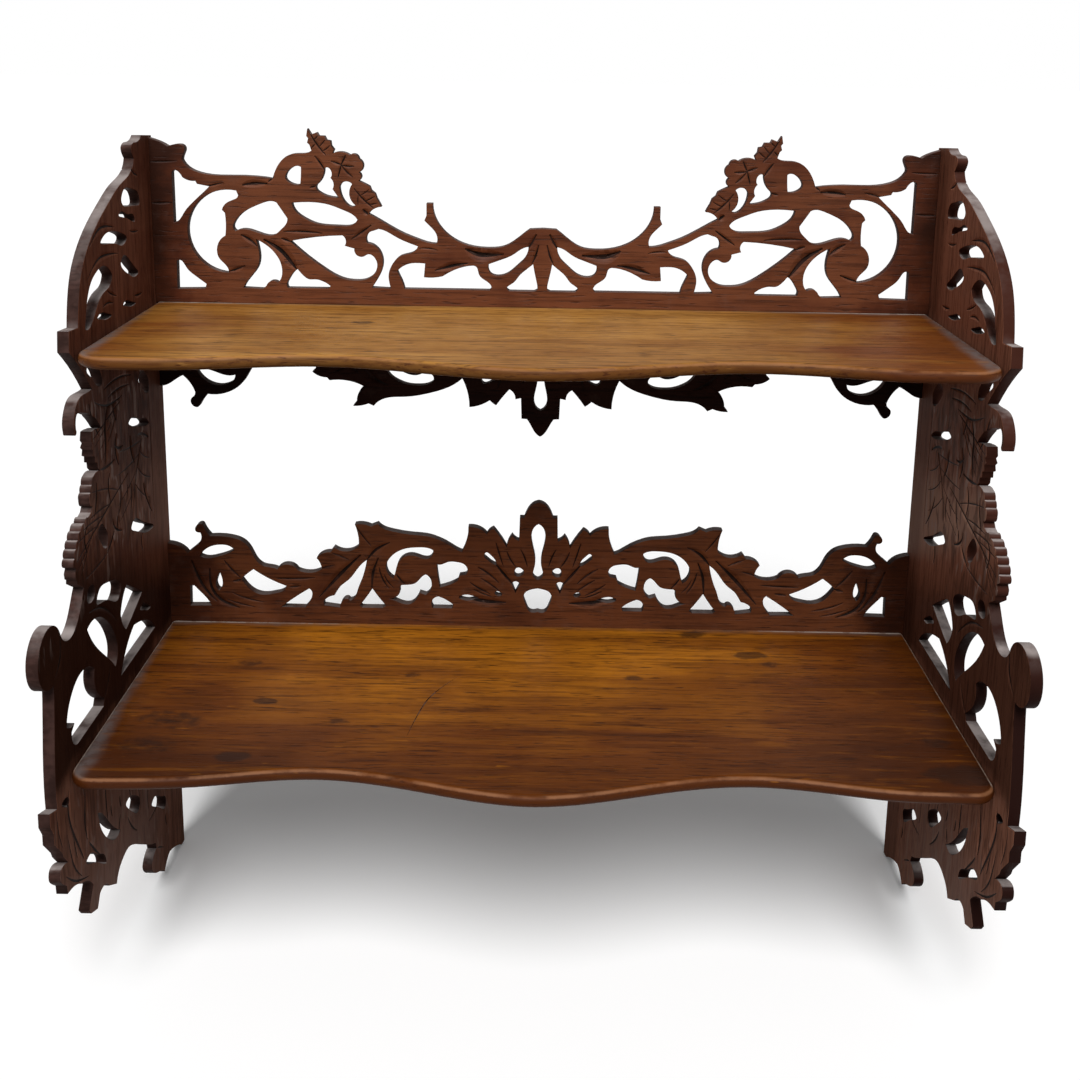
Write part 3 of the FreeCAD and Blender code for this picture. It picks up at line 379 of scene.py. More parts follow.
def edge_finish(name, axis, tone, dusty):
    """Sawn edges of a fretwork board: scratched by the saw, darker low down, dusty where they face up,
    redder on the right and greyer on the left with dust and painted reflection.
    """
    finish = Finish(name)
    saw = finish.noise(place=finish.drawn_out(along(axis, 800, 130)), detail=3)
    up = finish.facing_up()
    cloud = finish.noise(38, 5, roughness=0.6)
    base = finish.mix(finish.fade(saw, 0.35, 0.68), tone, shaded(tone, 0.55))
    base = finish.mix(finish.fade(cloud, 0.4, 0.68) * 0.75, base, shaded(tone, 0.3))
    # Painted reflection: edges are redder and darker on the right and greyer on the left, where the grey is
    # reflected light as well as dust.
    right = finish.fade(finish.axis("X"), -200 * MM, 250 * MM)
    base = finish.mix(right * 0.85, base, RED_EDGE)
    # Darker low down, most on the right.
    low = 1 - finish.fade(finish.axis("Z") - LOWER_TOP, 80 * MM, 140 * MM)
    base = finish.mix(low * (0.25 + 0.68 * right), base, LOW_EDGE_TONE)
    dust = finish.fade(up, 0.35, 0.95) * finish.fade(finish.noise(80, 5), 0.36, 0.6) * (1 - 0.6 * right)
    base = finish.mix(dust * dusty, base, EDGE_DUST_AND_REFLECTION)
    ledge = finish.fade(up, 0.8, 0.96) * finish.fade(cloud, 0.25, 0.6)
    base = finish.mix(ledge * (4 * dusty * dusty), base, LEDGE_DUST)
    rough = 0.42 + 0.25 * cloud + 0.2 * dust
    return finish.surface({
        "Base Color": base, "Roughness": rough, "Normal": finish.bump(saw, 0.3 * MM, 0.6),
        "Specular IOR Level": 0.02})


def groove_finish(name):
    """Bottoms of the carved veins: old wax and dirt, with dust on the flanks that face up."""
    finish = Finish(name)
    patch = finish.noise(120, 4)
    base = finish.mix(finish.fade(patch, 0.35, 0.7), *GROOVE_DIRT)
    dust = finish.fade(finish.facing_up(), 0.4, 0.8) * finish.fade(patch, 0.5, 0.62)
    base = finish.mix(dust * 0.4, base, GROOVE_DUST)
    rough = 0.55 + 0.3 * patch
    return finish.surface({
        "Base Color": base, "Roughness": rough,
        "Normal": finish.bump(finish.noise(700, 3), 0.3 * MM, 0.6), "Specular IOR Level": 0.08})


def metal_finish(name, bright, dull, roughness):
    """Old fixings: brushed metal gone dull in patches."""
    finish = Finish(name)
    tarnish = finish.fade(finish.noise(180, 5), 0.38, 0.66)
    brushed = finish.noise(place=finish.drawn_out((500, 500, 3000)), detail=2)
    base = finish.mix(tarnish, bright, dull)
    base = finish.mix(finish.fade(brushed, 0.45, 0.75) * 0.3, base, shaded(dull, 0.5))
    rough = roughness + 0.3 * tarnish + 0.1 * brushed
    return finish.surface({
        "Base Color": base, "Roughness": rough, "Metallic": 1 - 0.45 * tarnish,
        "Normal": finish.bump(brushed, 0.1 * MM, 0.4)})


def dowel_finish(name):
    """Plain pale dowel wood."""
    finish = Finish(name)
    figure, fibre, pore = grain(finish, "Z")
    base = finish.mix(finish.fade(fibre, 0.3, 0.7), *BEECH)
    base = finish.mix(pore * 0.5, base, BEECH_PORE)
    rough = 0.55 + 0.2 * figure
    return finish.surface({
        "Base Color": base, "Roughness": rough, "Normal": finish.bump(fibre, 0.2 * MM, 0.5)})


# Stains on the shelves: distance from the middle, distance in front of the back board, size and weight
UPPER_MARKS = [(-134, 67, 9, 0.8), (60, 40, 6, 0.5)]
LOWER_MARKS = [
    (-206, 214, 12, 0.95), (-201, 136, 8, 1.1), (-143, 164, 9, 0.6), (-97, 91, 8, 0.6), (76, 90, 8, 0.7),
    (173, 47, 13, 0.9), (130, 10, 12, 0.8), (54, 36, 7, 0.5), (-225, 75, 10, 0.65), (188, 62, 9, 0.7),
    (292, 222, 24, 0.9), (286, 180, 12, 0.7), (-262, 165, 26, 0.6), (-270, 200, 22, 0.6),
]
UPPER_TONES = [(0.42, 0.2, 0.045), (0.26, 0.105, 0.018), (0.15, 0.042, 0.006), (0.055, 0.013, 0.003)]
LOWER_TONES = [(0.43, 0.15, 0.009), (0.22, 0.068, 0.005), (0.12, 0.031, 0.003), (0.05, 0.012, 0.002)]

upper_shelf_wood = shelf_finish("upper_shelf_wood", UPPER_TONES, UPPER_MARKS, depth=200 * MM,
                                ends=0.36, fronts=0.05, streaks=0.12, lee=3 * MM)
lower_shelf_wood = shelf_finish("lower_shelf_wood", LOWER_TONES, LOWER_MARKS, depth=250 * MM,
                                ends=0.43, fronts=0.54, streaks=0.6, lee=-13 * MM)
crest_wood = board_finish("crest_wood", light=(0.135, 0.042, 0.017), dark=(0.078, 0.02, 0.008),
                          end_shade=0.55, gloss=0.12)
gallery_wood = board_finish("gallery_wood", light=(0.108, 0.033, 0.012), dark=(0.05, 0.013, 0.005),
                            end_shade=0.45, gloss=0.1)
# Painted shade: the apron is written several times darker than the crest for the shade under the upper
# shelf.
apron_wood_in_painted_shade = board_finish("apron_wood_in_painted_shade", light=(0.022, 0.007, 0.004), dark=(0.012, 0.004, 0.003),
                          end_shade=0.3, gloss=0.03)
panel_wood = panel_finish("panel_wood", light=(0.23, 0.095, 0.058), dark=(0.125, 0.044, 0.026),
                          zone_strength=0.75, gloss=0.006)
gallery_edge = edge_finish("gallery_edge", "X", tone=(0.06, 0.022, 0.012), dusty=0.25)
panel_edge = edge_finish("panel_edge", "Y", tone=(0.068, 0.035, 0.029), dusty=0.45)
groove = groove_finish("carved_groove")
screw_steel = metal_finish("screw_steel", (0.46, 0.44, 0.42), (0.12, 0.08, 0.06), 0.32)
hanger_brass = metal_finish("hanger_brass", (0.66, 0.44, 0.17), (0.3, 0.19, 0.08), 0.3)
dowel_wood = dowel_finish("dowel_beech")


# Carving. Each cut is a gouge width and the points it runs through, in millimetres.

# Upper gallery: distance from the middle, height above the upper shelf
CREST_CUTS = [
    (1.0, [(309.5, 112), (300, 112.2), (288, 112.8)]),
    (1.2, [(309.5, 79.6), (302, 79.4), (293.5, 80)]),
    (2.4, [(237.5, 94.6), (229, 97), (217.5, 96)]),
    (1.2, [(266, 93), (259.5, 94.8), (252, 96.4)]),
    (2.0, [(240, 55.2), (233, 52.6), (227.5, 46.5)]),
    (1.6, [(250.5, 25.6), (244, 27.4), (237, 30.4)]),
    (1.4, [(206, 58.4), (191, 59.4), (175, 57.4)]),
    (2.2, [(195.6, 27.4), (201, 34.5), (206.5, 41.5), (213, 47), (222, 51.8)]),
    (1.6, [(208, 53), (204.5, 52), (200.5, 50.2)]),
    (1.4, [(217, 97.6), (214.5, 99.6), (212.6, 101.6)]),
    (1.6, [(172.6, 108), (175.6, 113.6), (180, 118.4)]),
    (1.2, [(179, 95.2), (181.5, 94), (184.5, 93.6)]),
    (2.2, [(143, 77), (140.6, 75), (138.4, 73)]),
    (1.6, [(136, 64.6), (143.8, 59), (152, 53.2)]),
    (1.0, [(98.5, 46.6), (91.5, 47.6), (83.5, 45.4)]),
    (2.6, [(62, 47), (55, 43.2), (45, 41.6), (31, 43)]),
    (1.6, [(86, 29), (77, 31.8), (67, 34.4), (59.4, 35.2)]),
    (1.8, [(5.2, 59.6), (8.4, 52), (12.2, 47.6)]),
    (1.6, [(3.4, 51), (5, 42), (8.6, 35.6)]),
    (1.6, [(159.3, 111.7), (157.4, 115.6), (155.6, 119.6)]),
    (1.4, [(159.3, 111.7), (163, 113.4), (167.5, 114.6)]),
    (1.4, [(159.3, 111.7), (155, 110.4), (149, 110.8)]),
    (1.4, [(159.3, 111.7), (160.6, 107), (162, 101.5)]),
    (1.4, [(159.3, 111.7), (155.4, 106), (150.4, 102.4)]),
    (1.4, [(183.2, 136), (179, 127.5), (171, 119)]),
    (1.0, [(180.6, 131), (178.6, 132.4), (177, 134.2)]),
    (1.0, [(177, 125.4), (174, 127.4), (171.6, 131)]),
    (1.0, [(179.2, 128), (181.2, 125.6), (183.2, 123.6)]),
    (1.0, [(174, 122), (170.4, 123.8), (167.6, 127)]),
    (1.4, [(149.6, 93.6), (143, 84.6), (134, 78)]),
    (0.9, [(145, 88), (141, 89.4), (137.4, 93)]),
    (0.9, [(141.5, 83.4), (137.2, 84.6), (133.2, 87.6)]),
    (0.9, [(138, 80.6), (134.6, 81), (131, 82.2)]),
    (0.9, [(146, 88.6), (147, 84), (146.4, 80.4)]),
]

# Lower gallery: distance from the middle, height above the lower shelf
GALLERY_CUTS = [
    (1.6, [(144, 57), (139.6, 63), (133, 69.4), (124, 73.4)]),
    (1.6, [(139.6, 31), (139.2, 42), (137.6, 50.5), (133.6, 60)]),
    (1.4, [(133.4, 51.5), (131.6, 40), (125, 32.4)]),
    (1.0, [(129, 45), (127, 38), (121, 33.2)]),
    (1.8, [(256.5, 36.6), (252, 37.4), (248.6, 38.6)]),
    (1.2, [(257.5, 26.6), (247, 20.7), (231, 18.4)]),
    (1.0, [(262, 20.5), (250, 15.4), (238, 13.8)]),
    (1.4, [(219, 39.6), (203, 39.6), (187, 41)]),
    (2.0, [(184, 23.6), (170.7, 39.2), (160.3, 50.5), (148.5, 62)]),
    (1.4, [(209, 32.2), (204, 32.6), (199, 33.4)]),
    (1.2, [(182.4, 49), (177, 51.4), (170, 52.6)]),
    (1.2, [(173, 63.6), (165, 60.4), (158.5, 57.4)]),
    (1.2, [(152, 87), (146, 77), (139.5, 70)]),
    (2.4, [(36, 56.4), (29.1, 47.4), (21.4, 38.6)]),
    (1.4, [(35.4, 75), (33.3, 67), (29, 54)]),
    (1.4, [(26.2, 67.4), (24.5, 60.8), (18.4, 53.2)]),
    (1.4, [(15, 69.6), (10.6, 62), (9, 54)]),
    (1.6, [(50.4, 52.8), (41.5, 48.4), (33, 39.4)]),
    (1.4, [(57, 39.2), (49.3, 33), (39.8, 29)]),
    (2.2, [(66, 26.4), (50, 23), (38, 21.6), (26.4, 21.6)]),
    (1.4, [(48, 43), (40, 38.4), (33, 32.4)]),
    (1.2, [(54, 33), (46, 28.6), (38.4, 26.6)]),
    (1.6, [(290.6, 54.9), (286.2, 40.7), (278.9, 26.5), (270.3, 18.2)]),
    (1.6, [(275.5, 48.1), (276.5, 36.2), (272.2, 24.2), (262.5, 16), (251.3, 13)]),
    (1.6, [(263.3, 55.4), (258, 47.2), (250, 40)]),
    (1.6, [(119, 45.5), (116, 40.5), (111.5, 36)]),
]

# Side panels: distance from the back boards' faces (negative is forward), height above the lower shelf
SIDE_CUTS = [
    (1.3, [(-142, 340), (-127, 349), (-108, 351), (-90, 347)]),
    (1.2, [(-150, 318), (-132, 329), (-108, 330.5), (-84, 327)]),
    (1.4, [(-112, 304.6), (-104, 300), (-92, 297)]),
    (1.4, [(-122, 294), (-112, 297), (-100, 293)]),
    (1.6, [(-52, 290), (-44, 288), (-34, 288.6)]),
    (1.4, [(-56, 340), (-46, 337), (-36, 337.4)]),
    (1.8, [(-46, 386), (-40, 381), (-31, 379)]),
    (1.0, [(-31, 102), (-30, 150), (-31, 206)]),
    (1.4, [(-130, 236), (-100, 240), (-70, 232)]),
    (1.4, [(-122, 228), (-100, 231), (-76, 226)]),
    (1.6, [(-98, 219), (-124, 213), (-157, 207)]),
    (1.2, [(-92, 222), (-112, 221), (-132, 224), (-150, 232)]),
    (1.1, [(-120, 213.6), (-134, 206), (-155, 201)]),
    (1.1, [(-110, 216), (-126, 202), (-150, 193)]),
    (1.1, [(-102, 218), (-118, 199), (-144, 186)]),
    (2.4, [(-146, 181.6), (-131, 177.6), (-116, 179.5)]),
    (1.8, [(-88, 160), (-130, 150), (-200, 134)]),
    (1.2, [(-112, 155), (-134, 165), (-165, 171)]),
    (1.2, [(-130, 150.6), (-150, 154), (-172, 154)]),
    (1.2, [(-146, 147.4), (-166, 150.4), (-186, 151)]),
    (1.2, [(-160, 144.4), (-178, 146.4), (-196, 146)]),
    (1.2, [(-164, 143), (-182, 134), (-202, 126)]),
    (1.2, [(-172, 140.6), (-184, 128), (-197, 119)]),
    (1.2, [(-136, 118), (-158, 114), (-186, 116)]),
    (1.8, [(-50, 180), (-68, 160), (-82, 124)]),
    (1.2, [(-54, 176), (-76, 176), (-104, 182)]),
    (1.2, [(-62, 167), (-84, 163), (-112, 166)]),
    (1.2, [(-70, 156), (-90, 146), (-114, 143)]),
    (1.2, [(-76, 144), (-94, 134), (-112, 130)]),
    (1.2, [(-60, 170), (-50, 160), (-36, 156)]),
    (1.2, [(-68, 160), (-56, 146), (-36, 140)]),
    (1.2, [(-74, 148), (-62, 134), (-40, 124)]),
    (2.2, [(-126, 138), (-124.6, 127), (-108, 122)]),
    (1.2, [(-184, 90), (-166, 87), (-146, 76), (-130, 60)]),
    (1.6, [(-166, 14.5), (-154, 20), (-148, 33)]),
    (1.4, [(-236.6, 97), (-236, 87.5), (-240, 79.5), (-250, 73.4)]),
    (2.0, [(-131, -101), (-124, -115), (-112, -125)]),
    (1.6, [(-56, -133), (-67, -138), (-84, -135)]),
    (2.2, [(-210, -70), (-202, -81), (-190, -94)]),
    (2.4, [(-146, -89), (-146.5, -95), (-151, -100)]),
    (2.4, [(-116, 136.5), (-114.5, 130), (-116.3, 124)]),
    (2.0, [(-90.4, 152), (-89, 145), (-95, 139)]),
    (2.4, [(-112.8, 223), (-111.5, 215), (-108, 207)]),
    (2.4, [(-114, 191), (-106, 183), (-97, 184.5)]),
    (2.4, [(-62, 182), (-49, 181.4), (-36, 173)]),
    (2.4, [(-161, 234.4), (-154.4, 219), (-145, 206.6)]),
    (2.2, [(-60, 104), (-66.6, 98), (-62.4, 88)]),
    (2.4, [(-125, 128), (-128.5, 120.5), (-141, 118)]),
    (1.6, [(-236, -40), (-237, -54), (-232, -68)]),
    (1.2, [(-247, -40), (-243, -58), (-236, -76), (-226, -86)]),
    (1.2, [(-254, -67), (-243, -78), (-230, -87), (-214, -94)]),
    (2.4, [(-164, -70), (-163.4, -75), (-163, -80)]),
    (2.4, [(-145, -74), (-144.4, -79), (-144, -84)]),
    (2.4, [(-40, -156), (-39.6, -161), (-39, -167)]),
    (1.4, [(-66, -171), (-60, -174), (-50, -181)]),
    (1.4, [(-262, -14), (-262, -30), (-256, -44)]),
    (1.6, [(-240, -12), (-243, -24), (-238.7, -41.4), (-226, -65), (-221, -76)]),
    (2.0, [(-211, -30), (-213, -44.5), (-214, -56), (-213, -66)]),
    (2.6, [(-173, -50), (-172, -62), (-172, -78)]),
    (1.4, [(-106, -86), (-100, -99), (-102, -114)]),
    (1.4, [(-82, -102), (-84, -114), (-82, -126)]),
    (1.4, [(-126, -76), (-122, -88), (-117, -102)]),
    (2.6, [(-124, 223.5), (-130.5, 210.5), (-128.4, 195), (-135, 182)]),
    (2.6, [(-108.5, 197.4), (-115, 186), (-107.5, 173)]),
    (2.6, [(-79.5, 187), (-79, 174.5), (-72.6, 163.6)]),
    (2.6, [(-105, 157), (-102, 143.6), (-113.6, 135.6)]),
    (2.6, [(-83, 151), (-77, 138), (-86, 131)]),
    (2.6, [(-54, 141), (-50, 129), (-36, 111)]),
    (2.6, [(-155, 175.4), (-152.6, 161.5), (-163, 152)]),
    (2.6, [(-177, 151), (-186, 145), (-180, 132)]),
    (2.6, [(-127, 173), (-133, 165), (-128, 151)]),
]

# Lower shelf: distance from the middle, distance in front of the back board
SHELF_CRACKS = [(0.9, [(-90, 182), (-86, 152), (-78, 118), (-61, 93)])]
APRON_FLATTENING = 0.9

# Shape of a gouge stroke, in shares of a cut's width where no unit is given
GOUGE_RADIUS = 0.5 * MM
GOUGE_MIDDLE = 1.15
GOUGE_END = 0.25
GOUGE_CLEARANCE = 0.7
GOUGE_LIFT = 0.02 * MM
VEIN_WIDENING = 2.0
VEIN_DEPTH = 1.0
SCOOP_WIDENING = 4.2
SCOOP_DEPTH = 0.25

# Eased rims of the boards, and the angles in degrees past which an edge looks sharp
RIM = 0.4 * MM
BOARD_CREASE = 32
PLANK_CREASE = 28

# Axes that a board can be thin along
X_AXIS, Y_AXIS, Z_AXIS = range(3)


def mirrored(cuts):
    return cuts + [(width, [(-d, h) for d, h in points]) for width, points in cuts]


def in_passes(cuts, widening):
    """Sorts the cuts into passes in which no two strokes touch each other."""
    passes = []
    for width, points in cuts:
        steps = np.linspace(0, len(points) - 1, 12 * len(points))
        path = np.stack([np.interp(steps, range(len(points)), side) for side in zip(*points)], axis=1)
        reach = GOUGE_CLEARANCE * widening * width
        for made in passes:
            gaps = [np.linalg.norm(path[:, None] - other, axis=2).min() - far for other, far, cut in made]
            if min(gaps) > reach:
                break
        else:
            made = []
            passes.append(made)
        made.append((path, reach, (width, points)))
    return [[cut for path, reach, cut in made] for made in passes]


def gouge_strokes(name, cuts, place, widening, depth, material):
    """Tapered four-sided strokes along the cuts, set half into the face that they carve."""
    curve = bpy.data.curves.new(name, "CURVE")
    curve.dimensions = "3D"
    curve.twist_mode = "Z_UP"
    curve.bevel_depth = GOUGE_RADIUS
    curve.bevel_resolution = 0
    curve.use_fill_caps = True
    curve.resolution_u = 5
    for width, points in cuts:
        spline = curve.splines.new("NURBS")
        spline.points.add(len(points) - 1)
        for index, (across, up) in enumerate(points):
            end = index in (0, len(points) - 1)
            spline.points[index].co = (across * MM, up * MM, 0, 1)
            spline.points[index].radius = widening * width * (GOUGE_END if end else GOUGE_MIDDLE)
        spline.order_u = 3
        spline.use_endpoint_u = True
    holder = bpy.data.objects.new(name, curve)
    mesh = bpy.data.meshes.new_from_object(holder)
    bm = bmesh.new()
    bm.from_mesh(mesh)
    bmesh.ops.remove_doubles(bm, verts=bm.verts, dist=0.0001 * MM)
    bmesh.ops.scale(bm, vec=(1, 1, depth), verts=bm.verts)
    bmesh.ops.translate(bm, vec=(0, 0, GOUGE_LIFT), verts=bm.verts)
    bmesh.ops.transform(bm, matrix=place, verts=bm.verts)
    bmesh.ops.recalc_face_normals(bm, faces=bm.faces)
    bm.to_mesh(mesh)
    bm.free()
    mesh.materials.clear()
    mesh.materials.append(material)
    tool = bpy.data.objects.new(name, mesh)
    scene.collection.objects.link(tool)
    bpy.data.objects.remove(holder)
    return tool


def merged_copy(node):
    """The CAD node's mesh, joined up and freed of needless edges."""
    bm = bmesh.new()
    bm.from_mesh(nodes[node].data)
    bmesh.ops.remove_doubles(bm, verts=bm.verts, dist=0.001 * MM)
    bmesh.ops.dissolve_limit(bm, angle_limit=0.01, verts=bm.verts, edges=bm.edges)
    return bm


def finished(bm, name, node, materials):
    """The new piece that stands for a CAD node."""
    mesh = bpy.data.meshes.new(name)
    bm.to_mesh(mesh)
    bm.free()
    for material in materials:
        mesh.materials.append(material)
    piece = bpy.data.objects.new(name, mesh)
    scene.collection.objects.link(piece)
    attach(piece, "root")
    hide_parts(node)
    return piece


def smoothed(mesh, crease, thin):
    """Shades a board smooth, apart from its creases and its two broad faces, which stay flat."""
    mesh.shade_smooth()
    mesh.set_sharp_from_angle(angle=math.radians(crease))
    for face in mesh.polygons:
        face.use_smooth = abs(face.normal[thin]) < 0.999


def wood_side(triangles, rims):
    """The triangles that lie in the wood: each rim crossed on the way in from the hull changes the side."""
    beside = {}
    for triangle in triangles:
        for index in range(3):
            beside.setdefault(frozenset((triangle[index - 1], triangle[index])), []).append(triangle)
    queue = [(found[0], pair in rims) for pair, found in beside.items() if len(found) == 1]
    side = {}
    while queue:
        triangle, wood = queue.pop()
        if triangle in side:
            continue
        side[triangle] = wood
        for index in range(3):
            pair = frozenset((triangle[index - 1], triangle[index]))
            queue += [(other, wood != (pair in rims)) for other in beside[pair]]
    return [triangle for triangle, wood in side.items() if wood]


def refaced(bm, thin):
    """Fills the two broad faces of a board anew with triangles that keep to its outline."""
    across = [axis for axis in range(3) if axis != thin]
    flat = [face for face in bm.faces if abs(face.normal[thin]) > 0.9999]
    levels = [face.verts[0].co[thin] for face in flat]
    for level in (min(levels), max(levels)):
        side = dict.fromkeys(face for face in flat
                             if face.is_valid and abs(face.verts[0].co[thin] - level) < 0.01 * MM)
        edges = dict.fromkeys(edge for face in side for edge in face.edges)
        rim = [edge for edge in edges if sum(face in side for face in edge.link_faces) == 1]
        inner = [edge for edge in edges if sum(face in side for face in edge.link_faces) == 2]
        bmesh.ops.delete(bm, geom=list(side), context="FACES_ONLY")
        bmesh.ops.delete(bm, geom=inner, context="EDGES")
        corners = sorted({vert for edge in rim for vert in edge.verts}, key=lambda vert: tuple(vert.co))
        number = {vert: index for index, vert in enumerate(corners)}
        plan = [[vert.co[axis] for axis in across] for vert in corners]
        pairs = sorted(sorted(number[vert] for vert in edge.verts) for edge in rim)
        filled = delaunay_2d_cdt(plan, pairs, [], 0, 0.0001 * MM)
        triangles = [tuple(filled[3][index][0] for index in triangle) for triangle in filled[2]]
        for triangle in wood_side(triangles, {frozenset(pair) for pair in pairs}):
            bm.faces.new([corners[index] for index in triangle])
    bmesh.ops.recalc_face_normals(bm, faces=bm.faces)


def cut_in(piece, strokes):
    """Takes the strokes out of a piece and leaves it as a plain mesh."""
    for tool in strokes:
        gouge = piece.modifiers.new("gouge", "BOOLEAN")
        gouge.operation = "DIFFERENCE"
        gouge.solver = "MANIFOLD"
        gouge.object = tool
    carved = bpy.data.meshes.new_from_object(piece.evaluated_get(bpy.context.evaluated_depsgraph_get()))
    piece.modifiers.clear()
    piece.data = carved
    carved.name = piece.name
    for tool in strokes:
        bpy.data.objects.remove(tool)


def carved_board(node, thin, materials, strokes):
    """A fretwork board with its rims eased and its veins cut in."""
    bm = merged_copy(node)
    rims = [edge for edge in bm.edges
            if sum(abs(face.normal[thin]) > 0.99 for face in edge.link_faces) == 1]
    bmesh.ops.bevel(bm, geom=rims, offset=RIM, offset_type="OFFSET", segments=2, profile=0.5,
                    affect="EDGES", clamp_overlap=False, material=-1)
    refaced(bm, thin)
    for face in bm.faces:
        face.material_index = 0 if abs(face.normal[thin]) > 0.8 else 1
    piece = finished(bm, "carved_" + node, node, materials)
    cut_in(piece, strokes)
    smoothed(piece.data, BOARD_CREASE, thin)


def carving(name, cuts, place, wood):
    """A broad shallow scoop along each cut, then the dark vein at its bottom."""
    scoops = [gouge_strokes(f"{name}_scoops", one_pass, place, SCOOP_WIDENING, SCOOP_DEPTH, wood)
              for one_pass in in_passes(cuts, SCOOP_WIDENING)]
    veins = [gouge_strokes(f"{name}_veins", one_pass, place, VEIN_WIDENING, VEIN_DEPTH, groove)
             for one_pass in in_passes(cuts, VEIN_WIDENING)]
    return scoops + veins


def board_place(base):
    """From a cut's own plane to the front of a back board."""
    return Matrix(((1, 0, 0, 0), (0, 0, -1, BOARD_FRONT), (0, 1, 0, base), (0, 0, 0, 1)))


def side_place(face, hand):
    """From a cut's own plane to a broad face of a side board."""
    return Matrix(((0, 0, hand, face), (1, 0, 0, BOARD_FRONT), (0, 1, 0, LOWER_TOP), (0, 0, 0, 1)))


# The back boards. The apron has the lower gallery's carving, flattened and upside down.
apron_cuts = [(width, [(d, -APRON_FLATTENING * h) for d, h in points]) for width, points in GALLERY_CUTS]
BOARDS = [
    ("upper_gallery", "crest_wood", crest_wood, CREST_CUTS, UPPER_TOP),
    ("lower_gallery", "crest_wood", gallery_wood, GALLERY_CUTS, LOWER_TOP),
    ("upper_apron", "panel_wood", apron_wood_in_painted_shade, apron_cuts, UPPER_TOP),
]
for node, slot, wood, cuts, base in BOARDS:
    strokes = carving(node, mirrored(cuts), board_place(base), wood)
    carved_board(node, Y_AXIS, [wood, gallery_edge, groove], strokes)

# The side boards, carved on both faces
for hand, word in ((-1, "left"), (1, "right")):
    node = word + "_side_panel"
    strokes = carving(node + "_inner", SIDE_CUTS, side_place(hand * INNER_HALF, -hand), panel_wood)
    strokes += carving(node + "_outer", SIDE_CUTS, side_place(hand * OUTER_HALF, hand), panel_wood)
    carved_board(node, X_AXIS, [panel_wood, panel_edge, groove], strokes)

# The shelves, the lower one with its crack
shelf_place = Matrix(((1, 0, 0, 0), (0, -1, 0, BOARD_FRONT), (0, 0, 1, LOWER_TOP), (0, 0, 0, 1)))
upper_plank = finished(merged_copy("upper_shelf"), "upper_shelf_plank", "upper_shelf",
                       [upper_shelf_wood])
lower_plank = finished(merged_copy("lower_shelf"), "lower_shelf_plank", "lower_shelf",
                       [lower_shelf_wood, groove])
cut_in(lower_plank, [gouge_strokes("crack", SHELF_CRACKS, shelf_place, 1.0, 1.0, groove)])
for plank in (upper_plank, lower_plank):
    smoothed(plank.data, PLANK_CREASE, Z_AXIS)

# The fixings, which keep their CAD shapes
FIXINGS = [
    (screw_steel, ("shelf_screws", "end_screws", "back_screws")),
    (hanger_brass, ("left_hanger_plate", "right_hanger_plate", "hanger_screws")),
    (dowel_wood, ("gallery_dowels",)),
]
for material, names in FIXINGS:
    for node in names:
        nodes[node].data.materials.clear()
        nodes[node].data.materials.append(material)


# Stage: floor, light and camera

FLOOR_HALF = 30
FLOOR_SEEN = (0.97, 0.97, 0.97)
FLOOR_SHADE = (0.3, 0.3, 0.3)
FLOOR_GLOW = 0.08
SKY = 0.16
LAMP_FROM = Vector((0.0, -0.68, 0.76))
LAMP_SPREAD = math.radians(30)


def white_to_eye(tree):
    """One where the camera looks, straight or by a mirror or glass, and nought for all other light."""
    path = tree.nodes.new("ShaderNodeLightPath")
    seen = path.outputs["Is Camera Ray"]
    for kind in ("Is Glossy Ray", "Is Transmission Ray"):
        either = tree.nodes.new("ShaderNodeMath")
        either.operation = "MAXIMUM"
        tree.links.new(seen, either.inputs[0])
        tree.links.new(path.outputs[kind], either.inputs[1])
        seen = either.outputs[0]
    return seen


def floor_finish(name):
    """White to the eye, but a shade that throws little light up under the shelves."""
    finish = Finish(name)
    seen = Wire(finish, white_to_eye(finish.tree))
    matt = finish.node("ShaderNodeBsdfDiffuse", {}, {"Color": finish.mix(seen, FLOOR_SHADE, FLOOR_SEEN)})
    glow = finish.node("ShaderNodeEmission", {}, {"Color": (1.0, 1.0, 1.0), "Strength": seen * FLOOR_GLOW})
    return finish.ended(finish.node("ShaderNodeAddShader", {}, {0: matt, 1: glow}))


def make_floor():
    bm = bmesh.new()
    bmesh.ops.create_grid(bm, x_segments=1, y_segments=1, size=FLOOR_HALF)
    bmesh.ops.translate(bm, verts=bm.verts, vec=(0, 0, FLOOR_LEVEL))
    mesh = bpy.data.meshes.new("floor")
    bm.to_mesh(mesh)
    bm.free()
    mesh.materials.append(floor_finish("pale_floor"))
    floor = bpy.data.objects.new("floor", mesh)
    scene.collection.objects.link(floor)


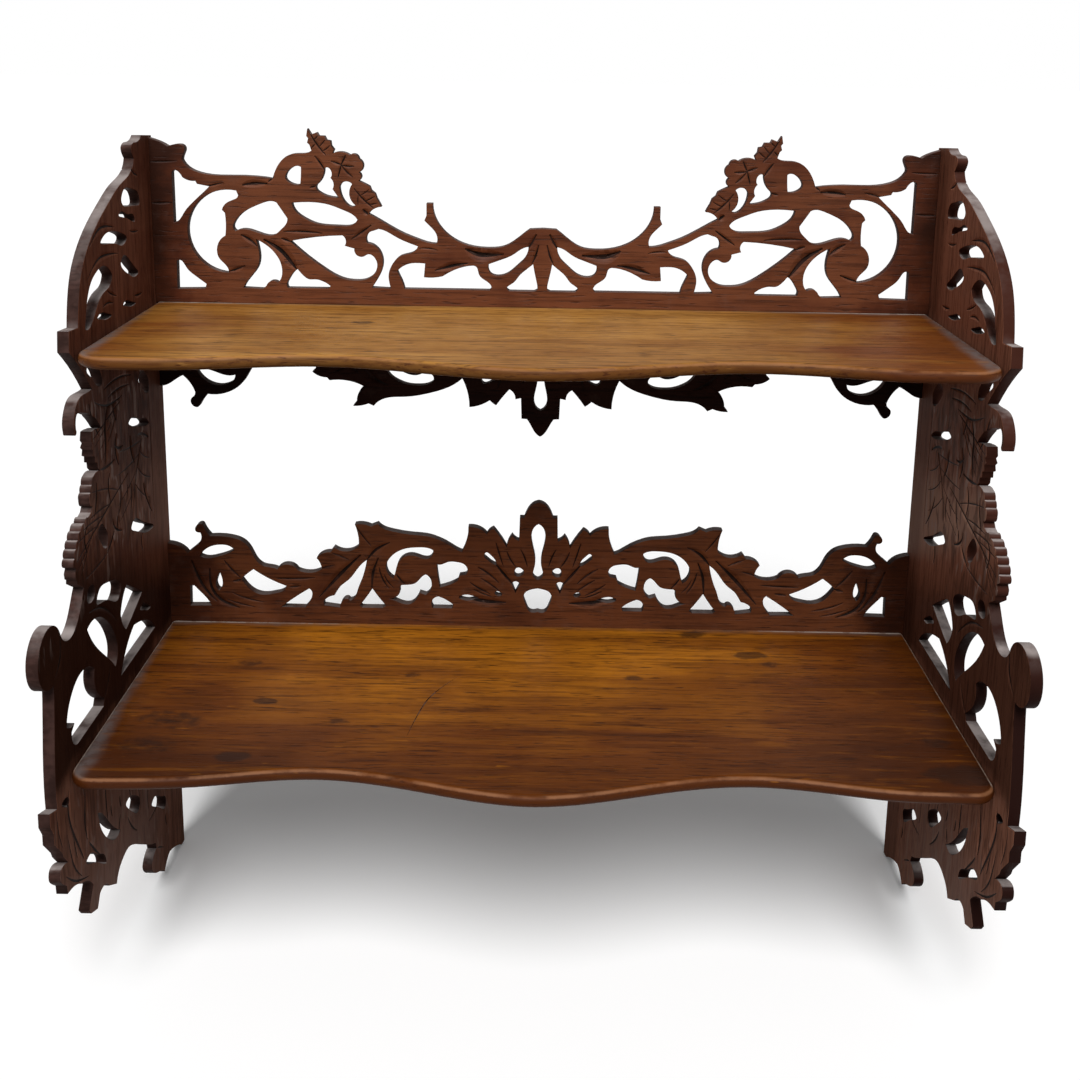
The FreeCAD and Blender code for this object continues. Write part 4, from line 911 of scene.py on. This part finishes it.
def make_light():
    """A dim white surround that the camera sees at full white, and one broad lamp above the front."""
    world = bpy.data.worlds.new("studio")
    scene.world = world
    world.use_nodes = True
    tree = world.node_tree
    tree.nodes.clear()
    level = tree.nodes.new("ShaderNodeMapRange")
    level.inputs["To Min"].default_value = SKY
    level.inputs["To Max"].default_value = 1.0
    tree.links.new(white_to_eye(tree), level.inputs["Value"])
    sky = tree.nodes.new("ShaderNodeBackground")
    sky.inputs["Color"].default_value = (1, 1, 1, 1)
    tree.links.new(level.outputs[0], sky.inputs["Strength"])
    end = tree.nodes.new("ShaderNodeOutputWorld")
    tree.links.new(sky.outputs[0], end.inputs["Surface"])
    sun = bpy.data.lights.new("soft_overhead", "SUN")
    sun.angle = LAMP_SPREAD
    sun.energy = (1 - SKY) * math.pi / LAMP_FROM.normalized().z
    lamp = bpy.data.objects.new("soft_overhead", sun)
    lamp.rotation_euler = LAMP_FROM.to_track_quat("Z", "Y").to_euler()
    scene.collection.objects.link(lamp)


# The camera's place and turn, and the photograph's frame in its own pixels
EYE = Vector((0.00603, -1.03165, 0.11814))
PITCH = math.radians(12.11)
YAW = math.radians(-0.153)
ROLL = math.radians(-0.915)
IMAGE = 1080
FOCAL_PIXELS = 1300
MIDDLE_PIXEL = (545.7, 331.9)
SENSOR = 36


def make_camera():
    ahead = Vector((math.sin(YAW) * math.cos(PITCH), math.cos(YAW) * math.cos(PITCH), -math.sin(PITCH)))
    right = Vector((math.cos(YAW), -math.sin(YAW), 0))
    down = ahead.cross(right)
    rolled_right = math.cos(ROLL) * right + math.sin(ROLL) * down
    rolled_down = math.cos(ROLL) * down - math.sin(ROLL) * right
    camera = bpy.data.cameras.new("camera")
    camera.sensor_width = SENSOR
    camera.lens = SENSOR * FOCAL_PIXELS / IMAGE
    camera.shift_x = (IMAGE / 2 - MIDDLE_PIXEL[0]) / IMAGE
    camera.shift_y = (MIDDLE_PIXEL[1] - IMAGE / 2) / IMAGE
    holder = bpy.data.objects.new("camera", camera)
    turn = Matrix((rolled_right, -rolled_down, -ahead)).transposed()
    holder.matrix_world = Matrix.Translation(EYE) @ turn.to_4x4()
    scene.collection.objects.link(holder)
    scene.camera = holder


make_floor()
make_light()
make_camera()
scene.view_settings.view_transform = "Standard"
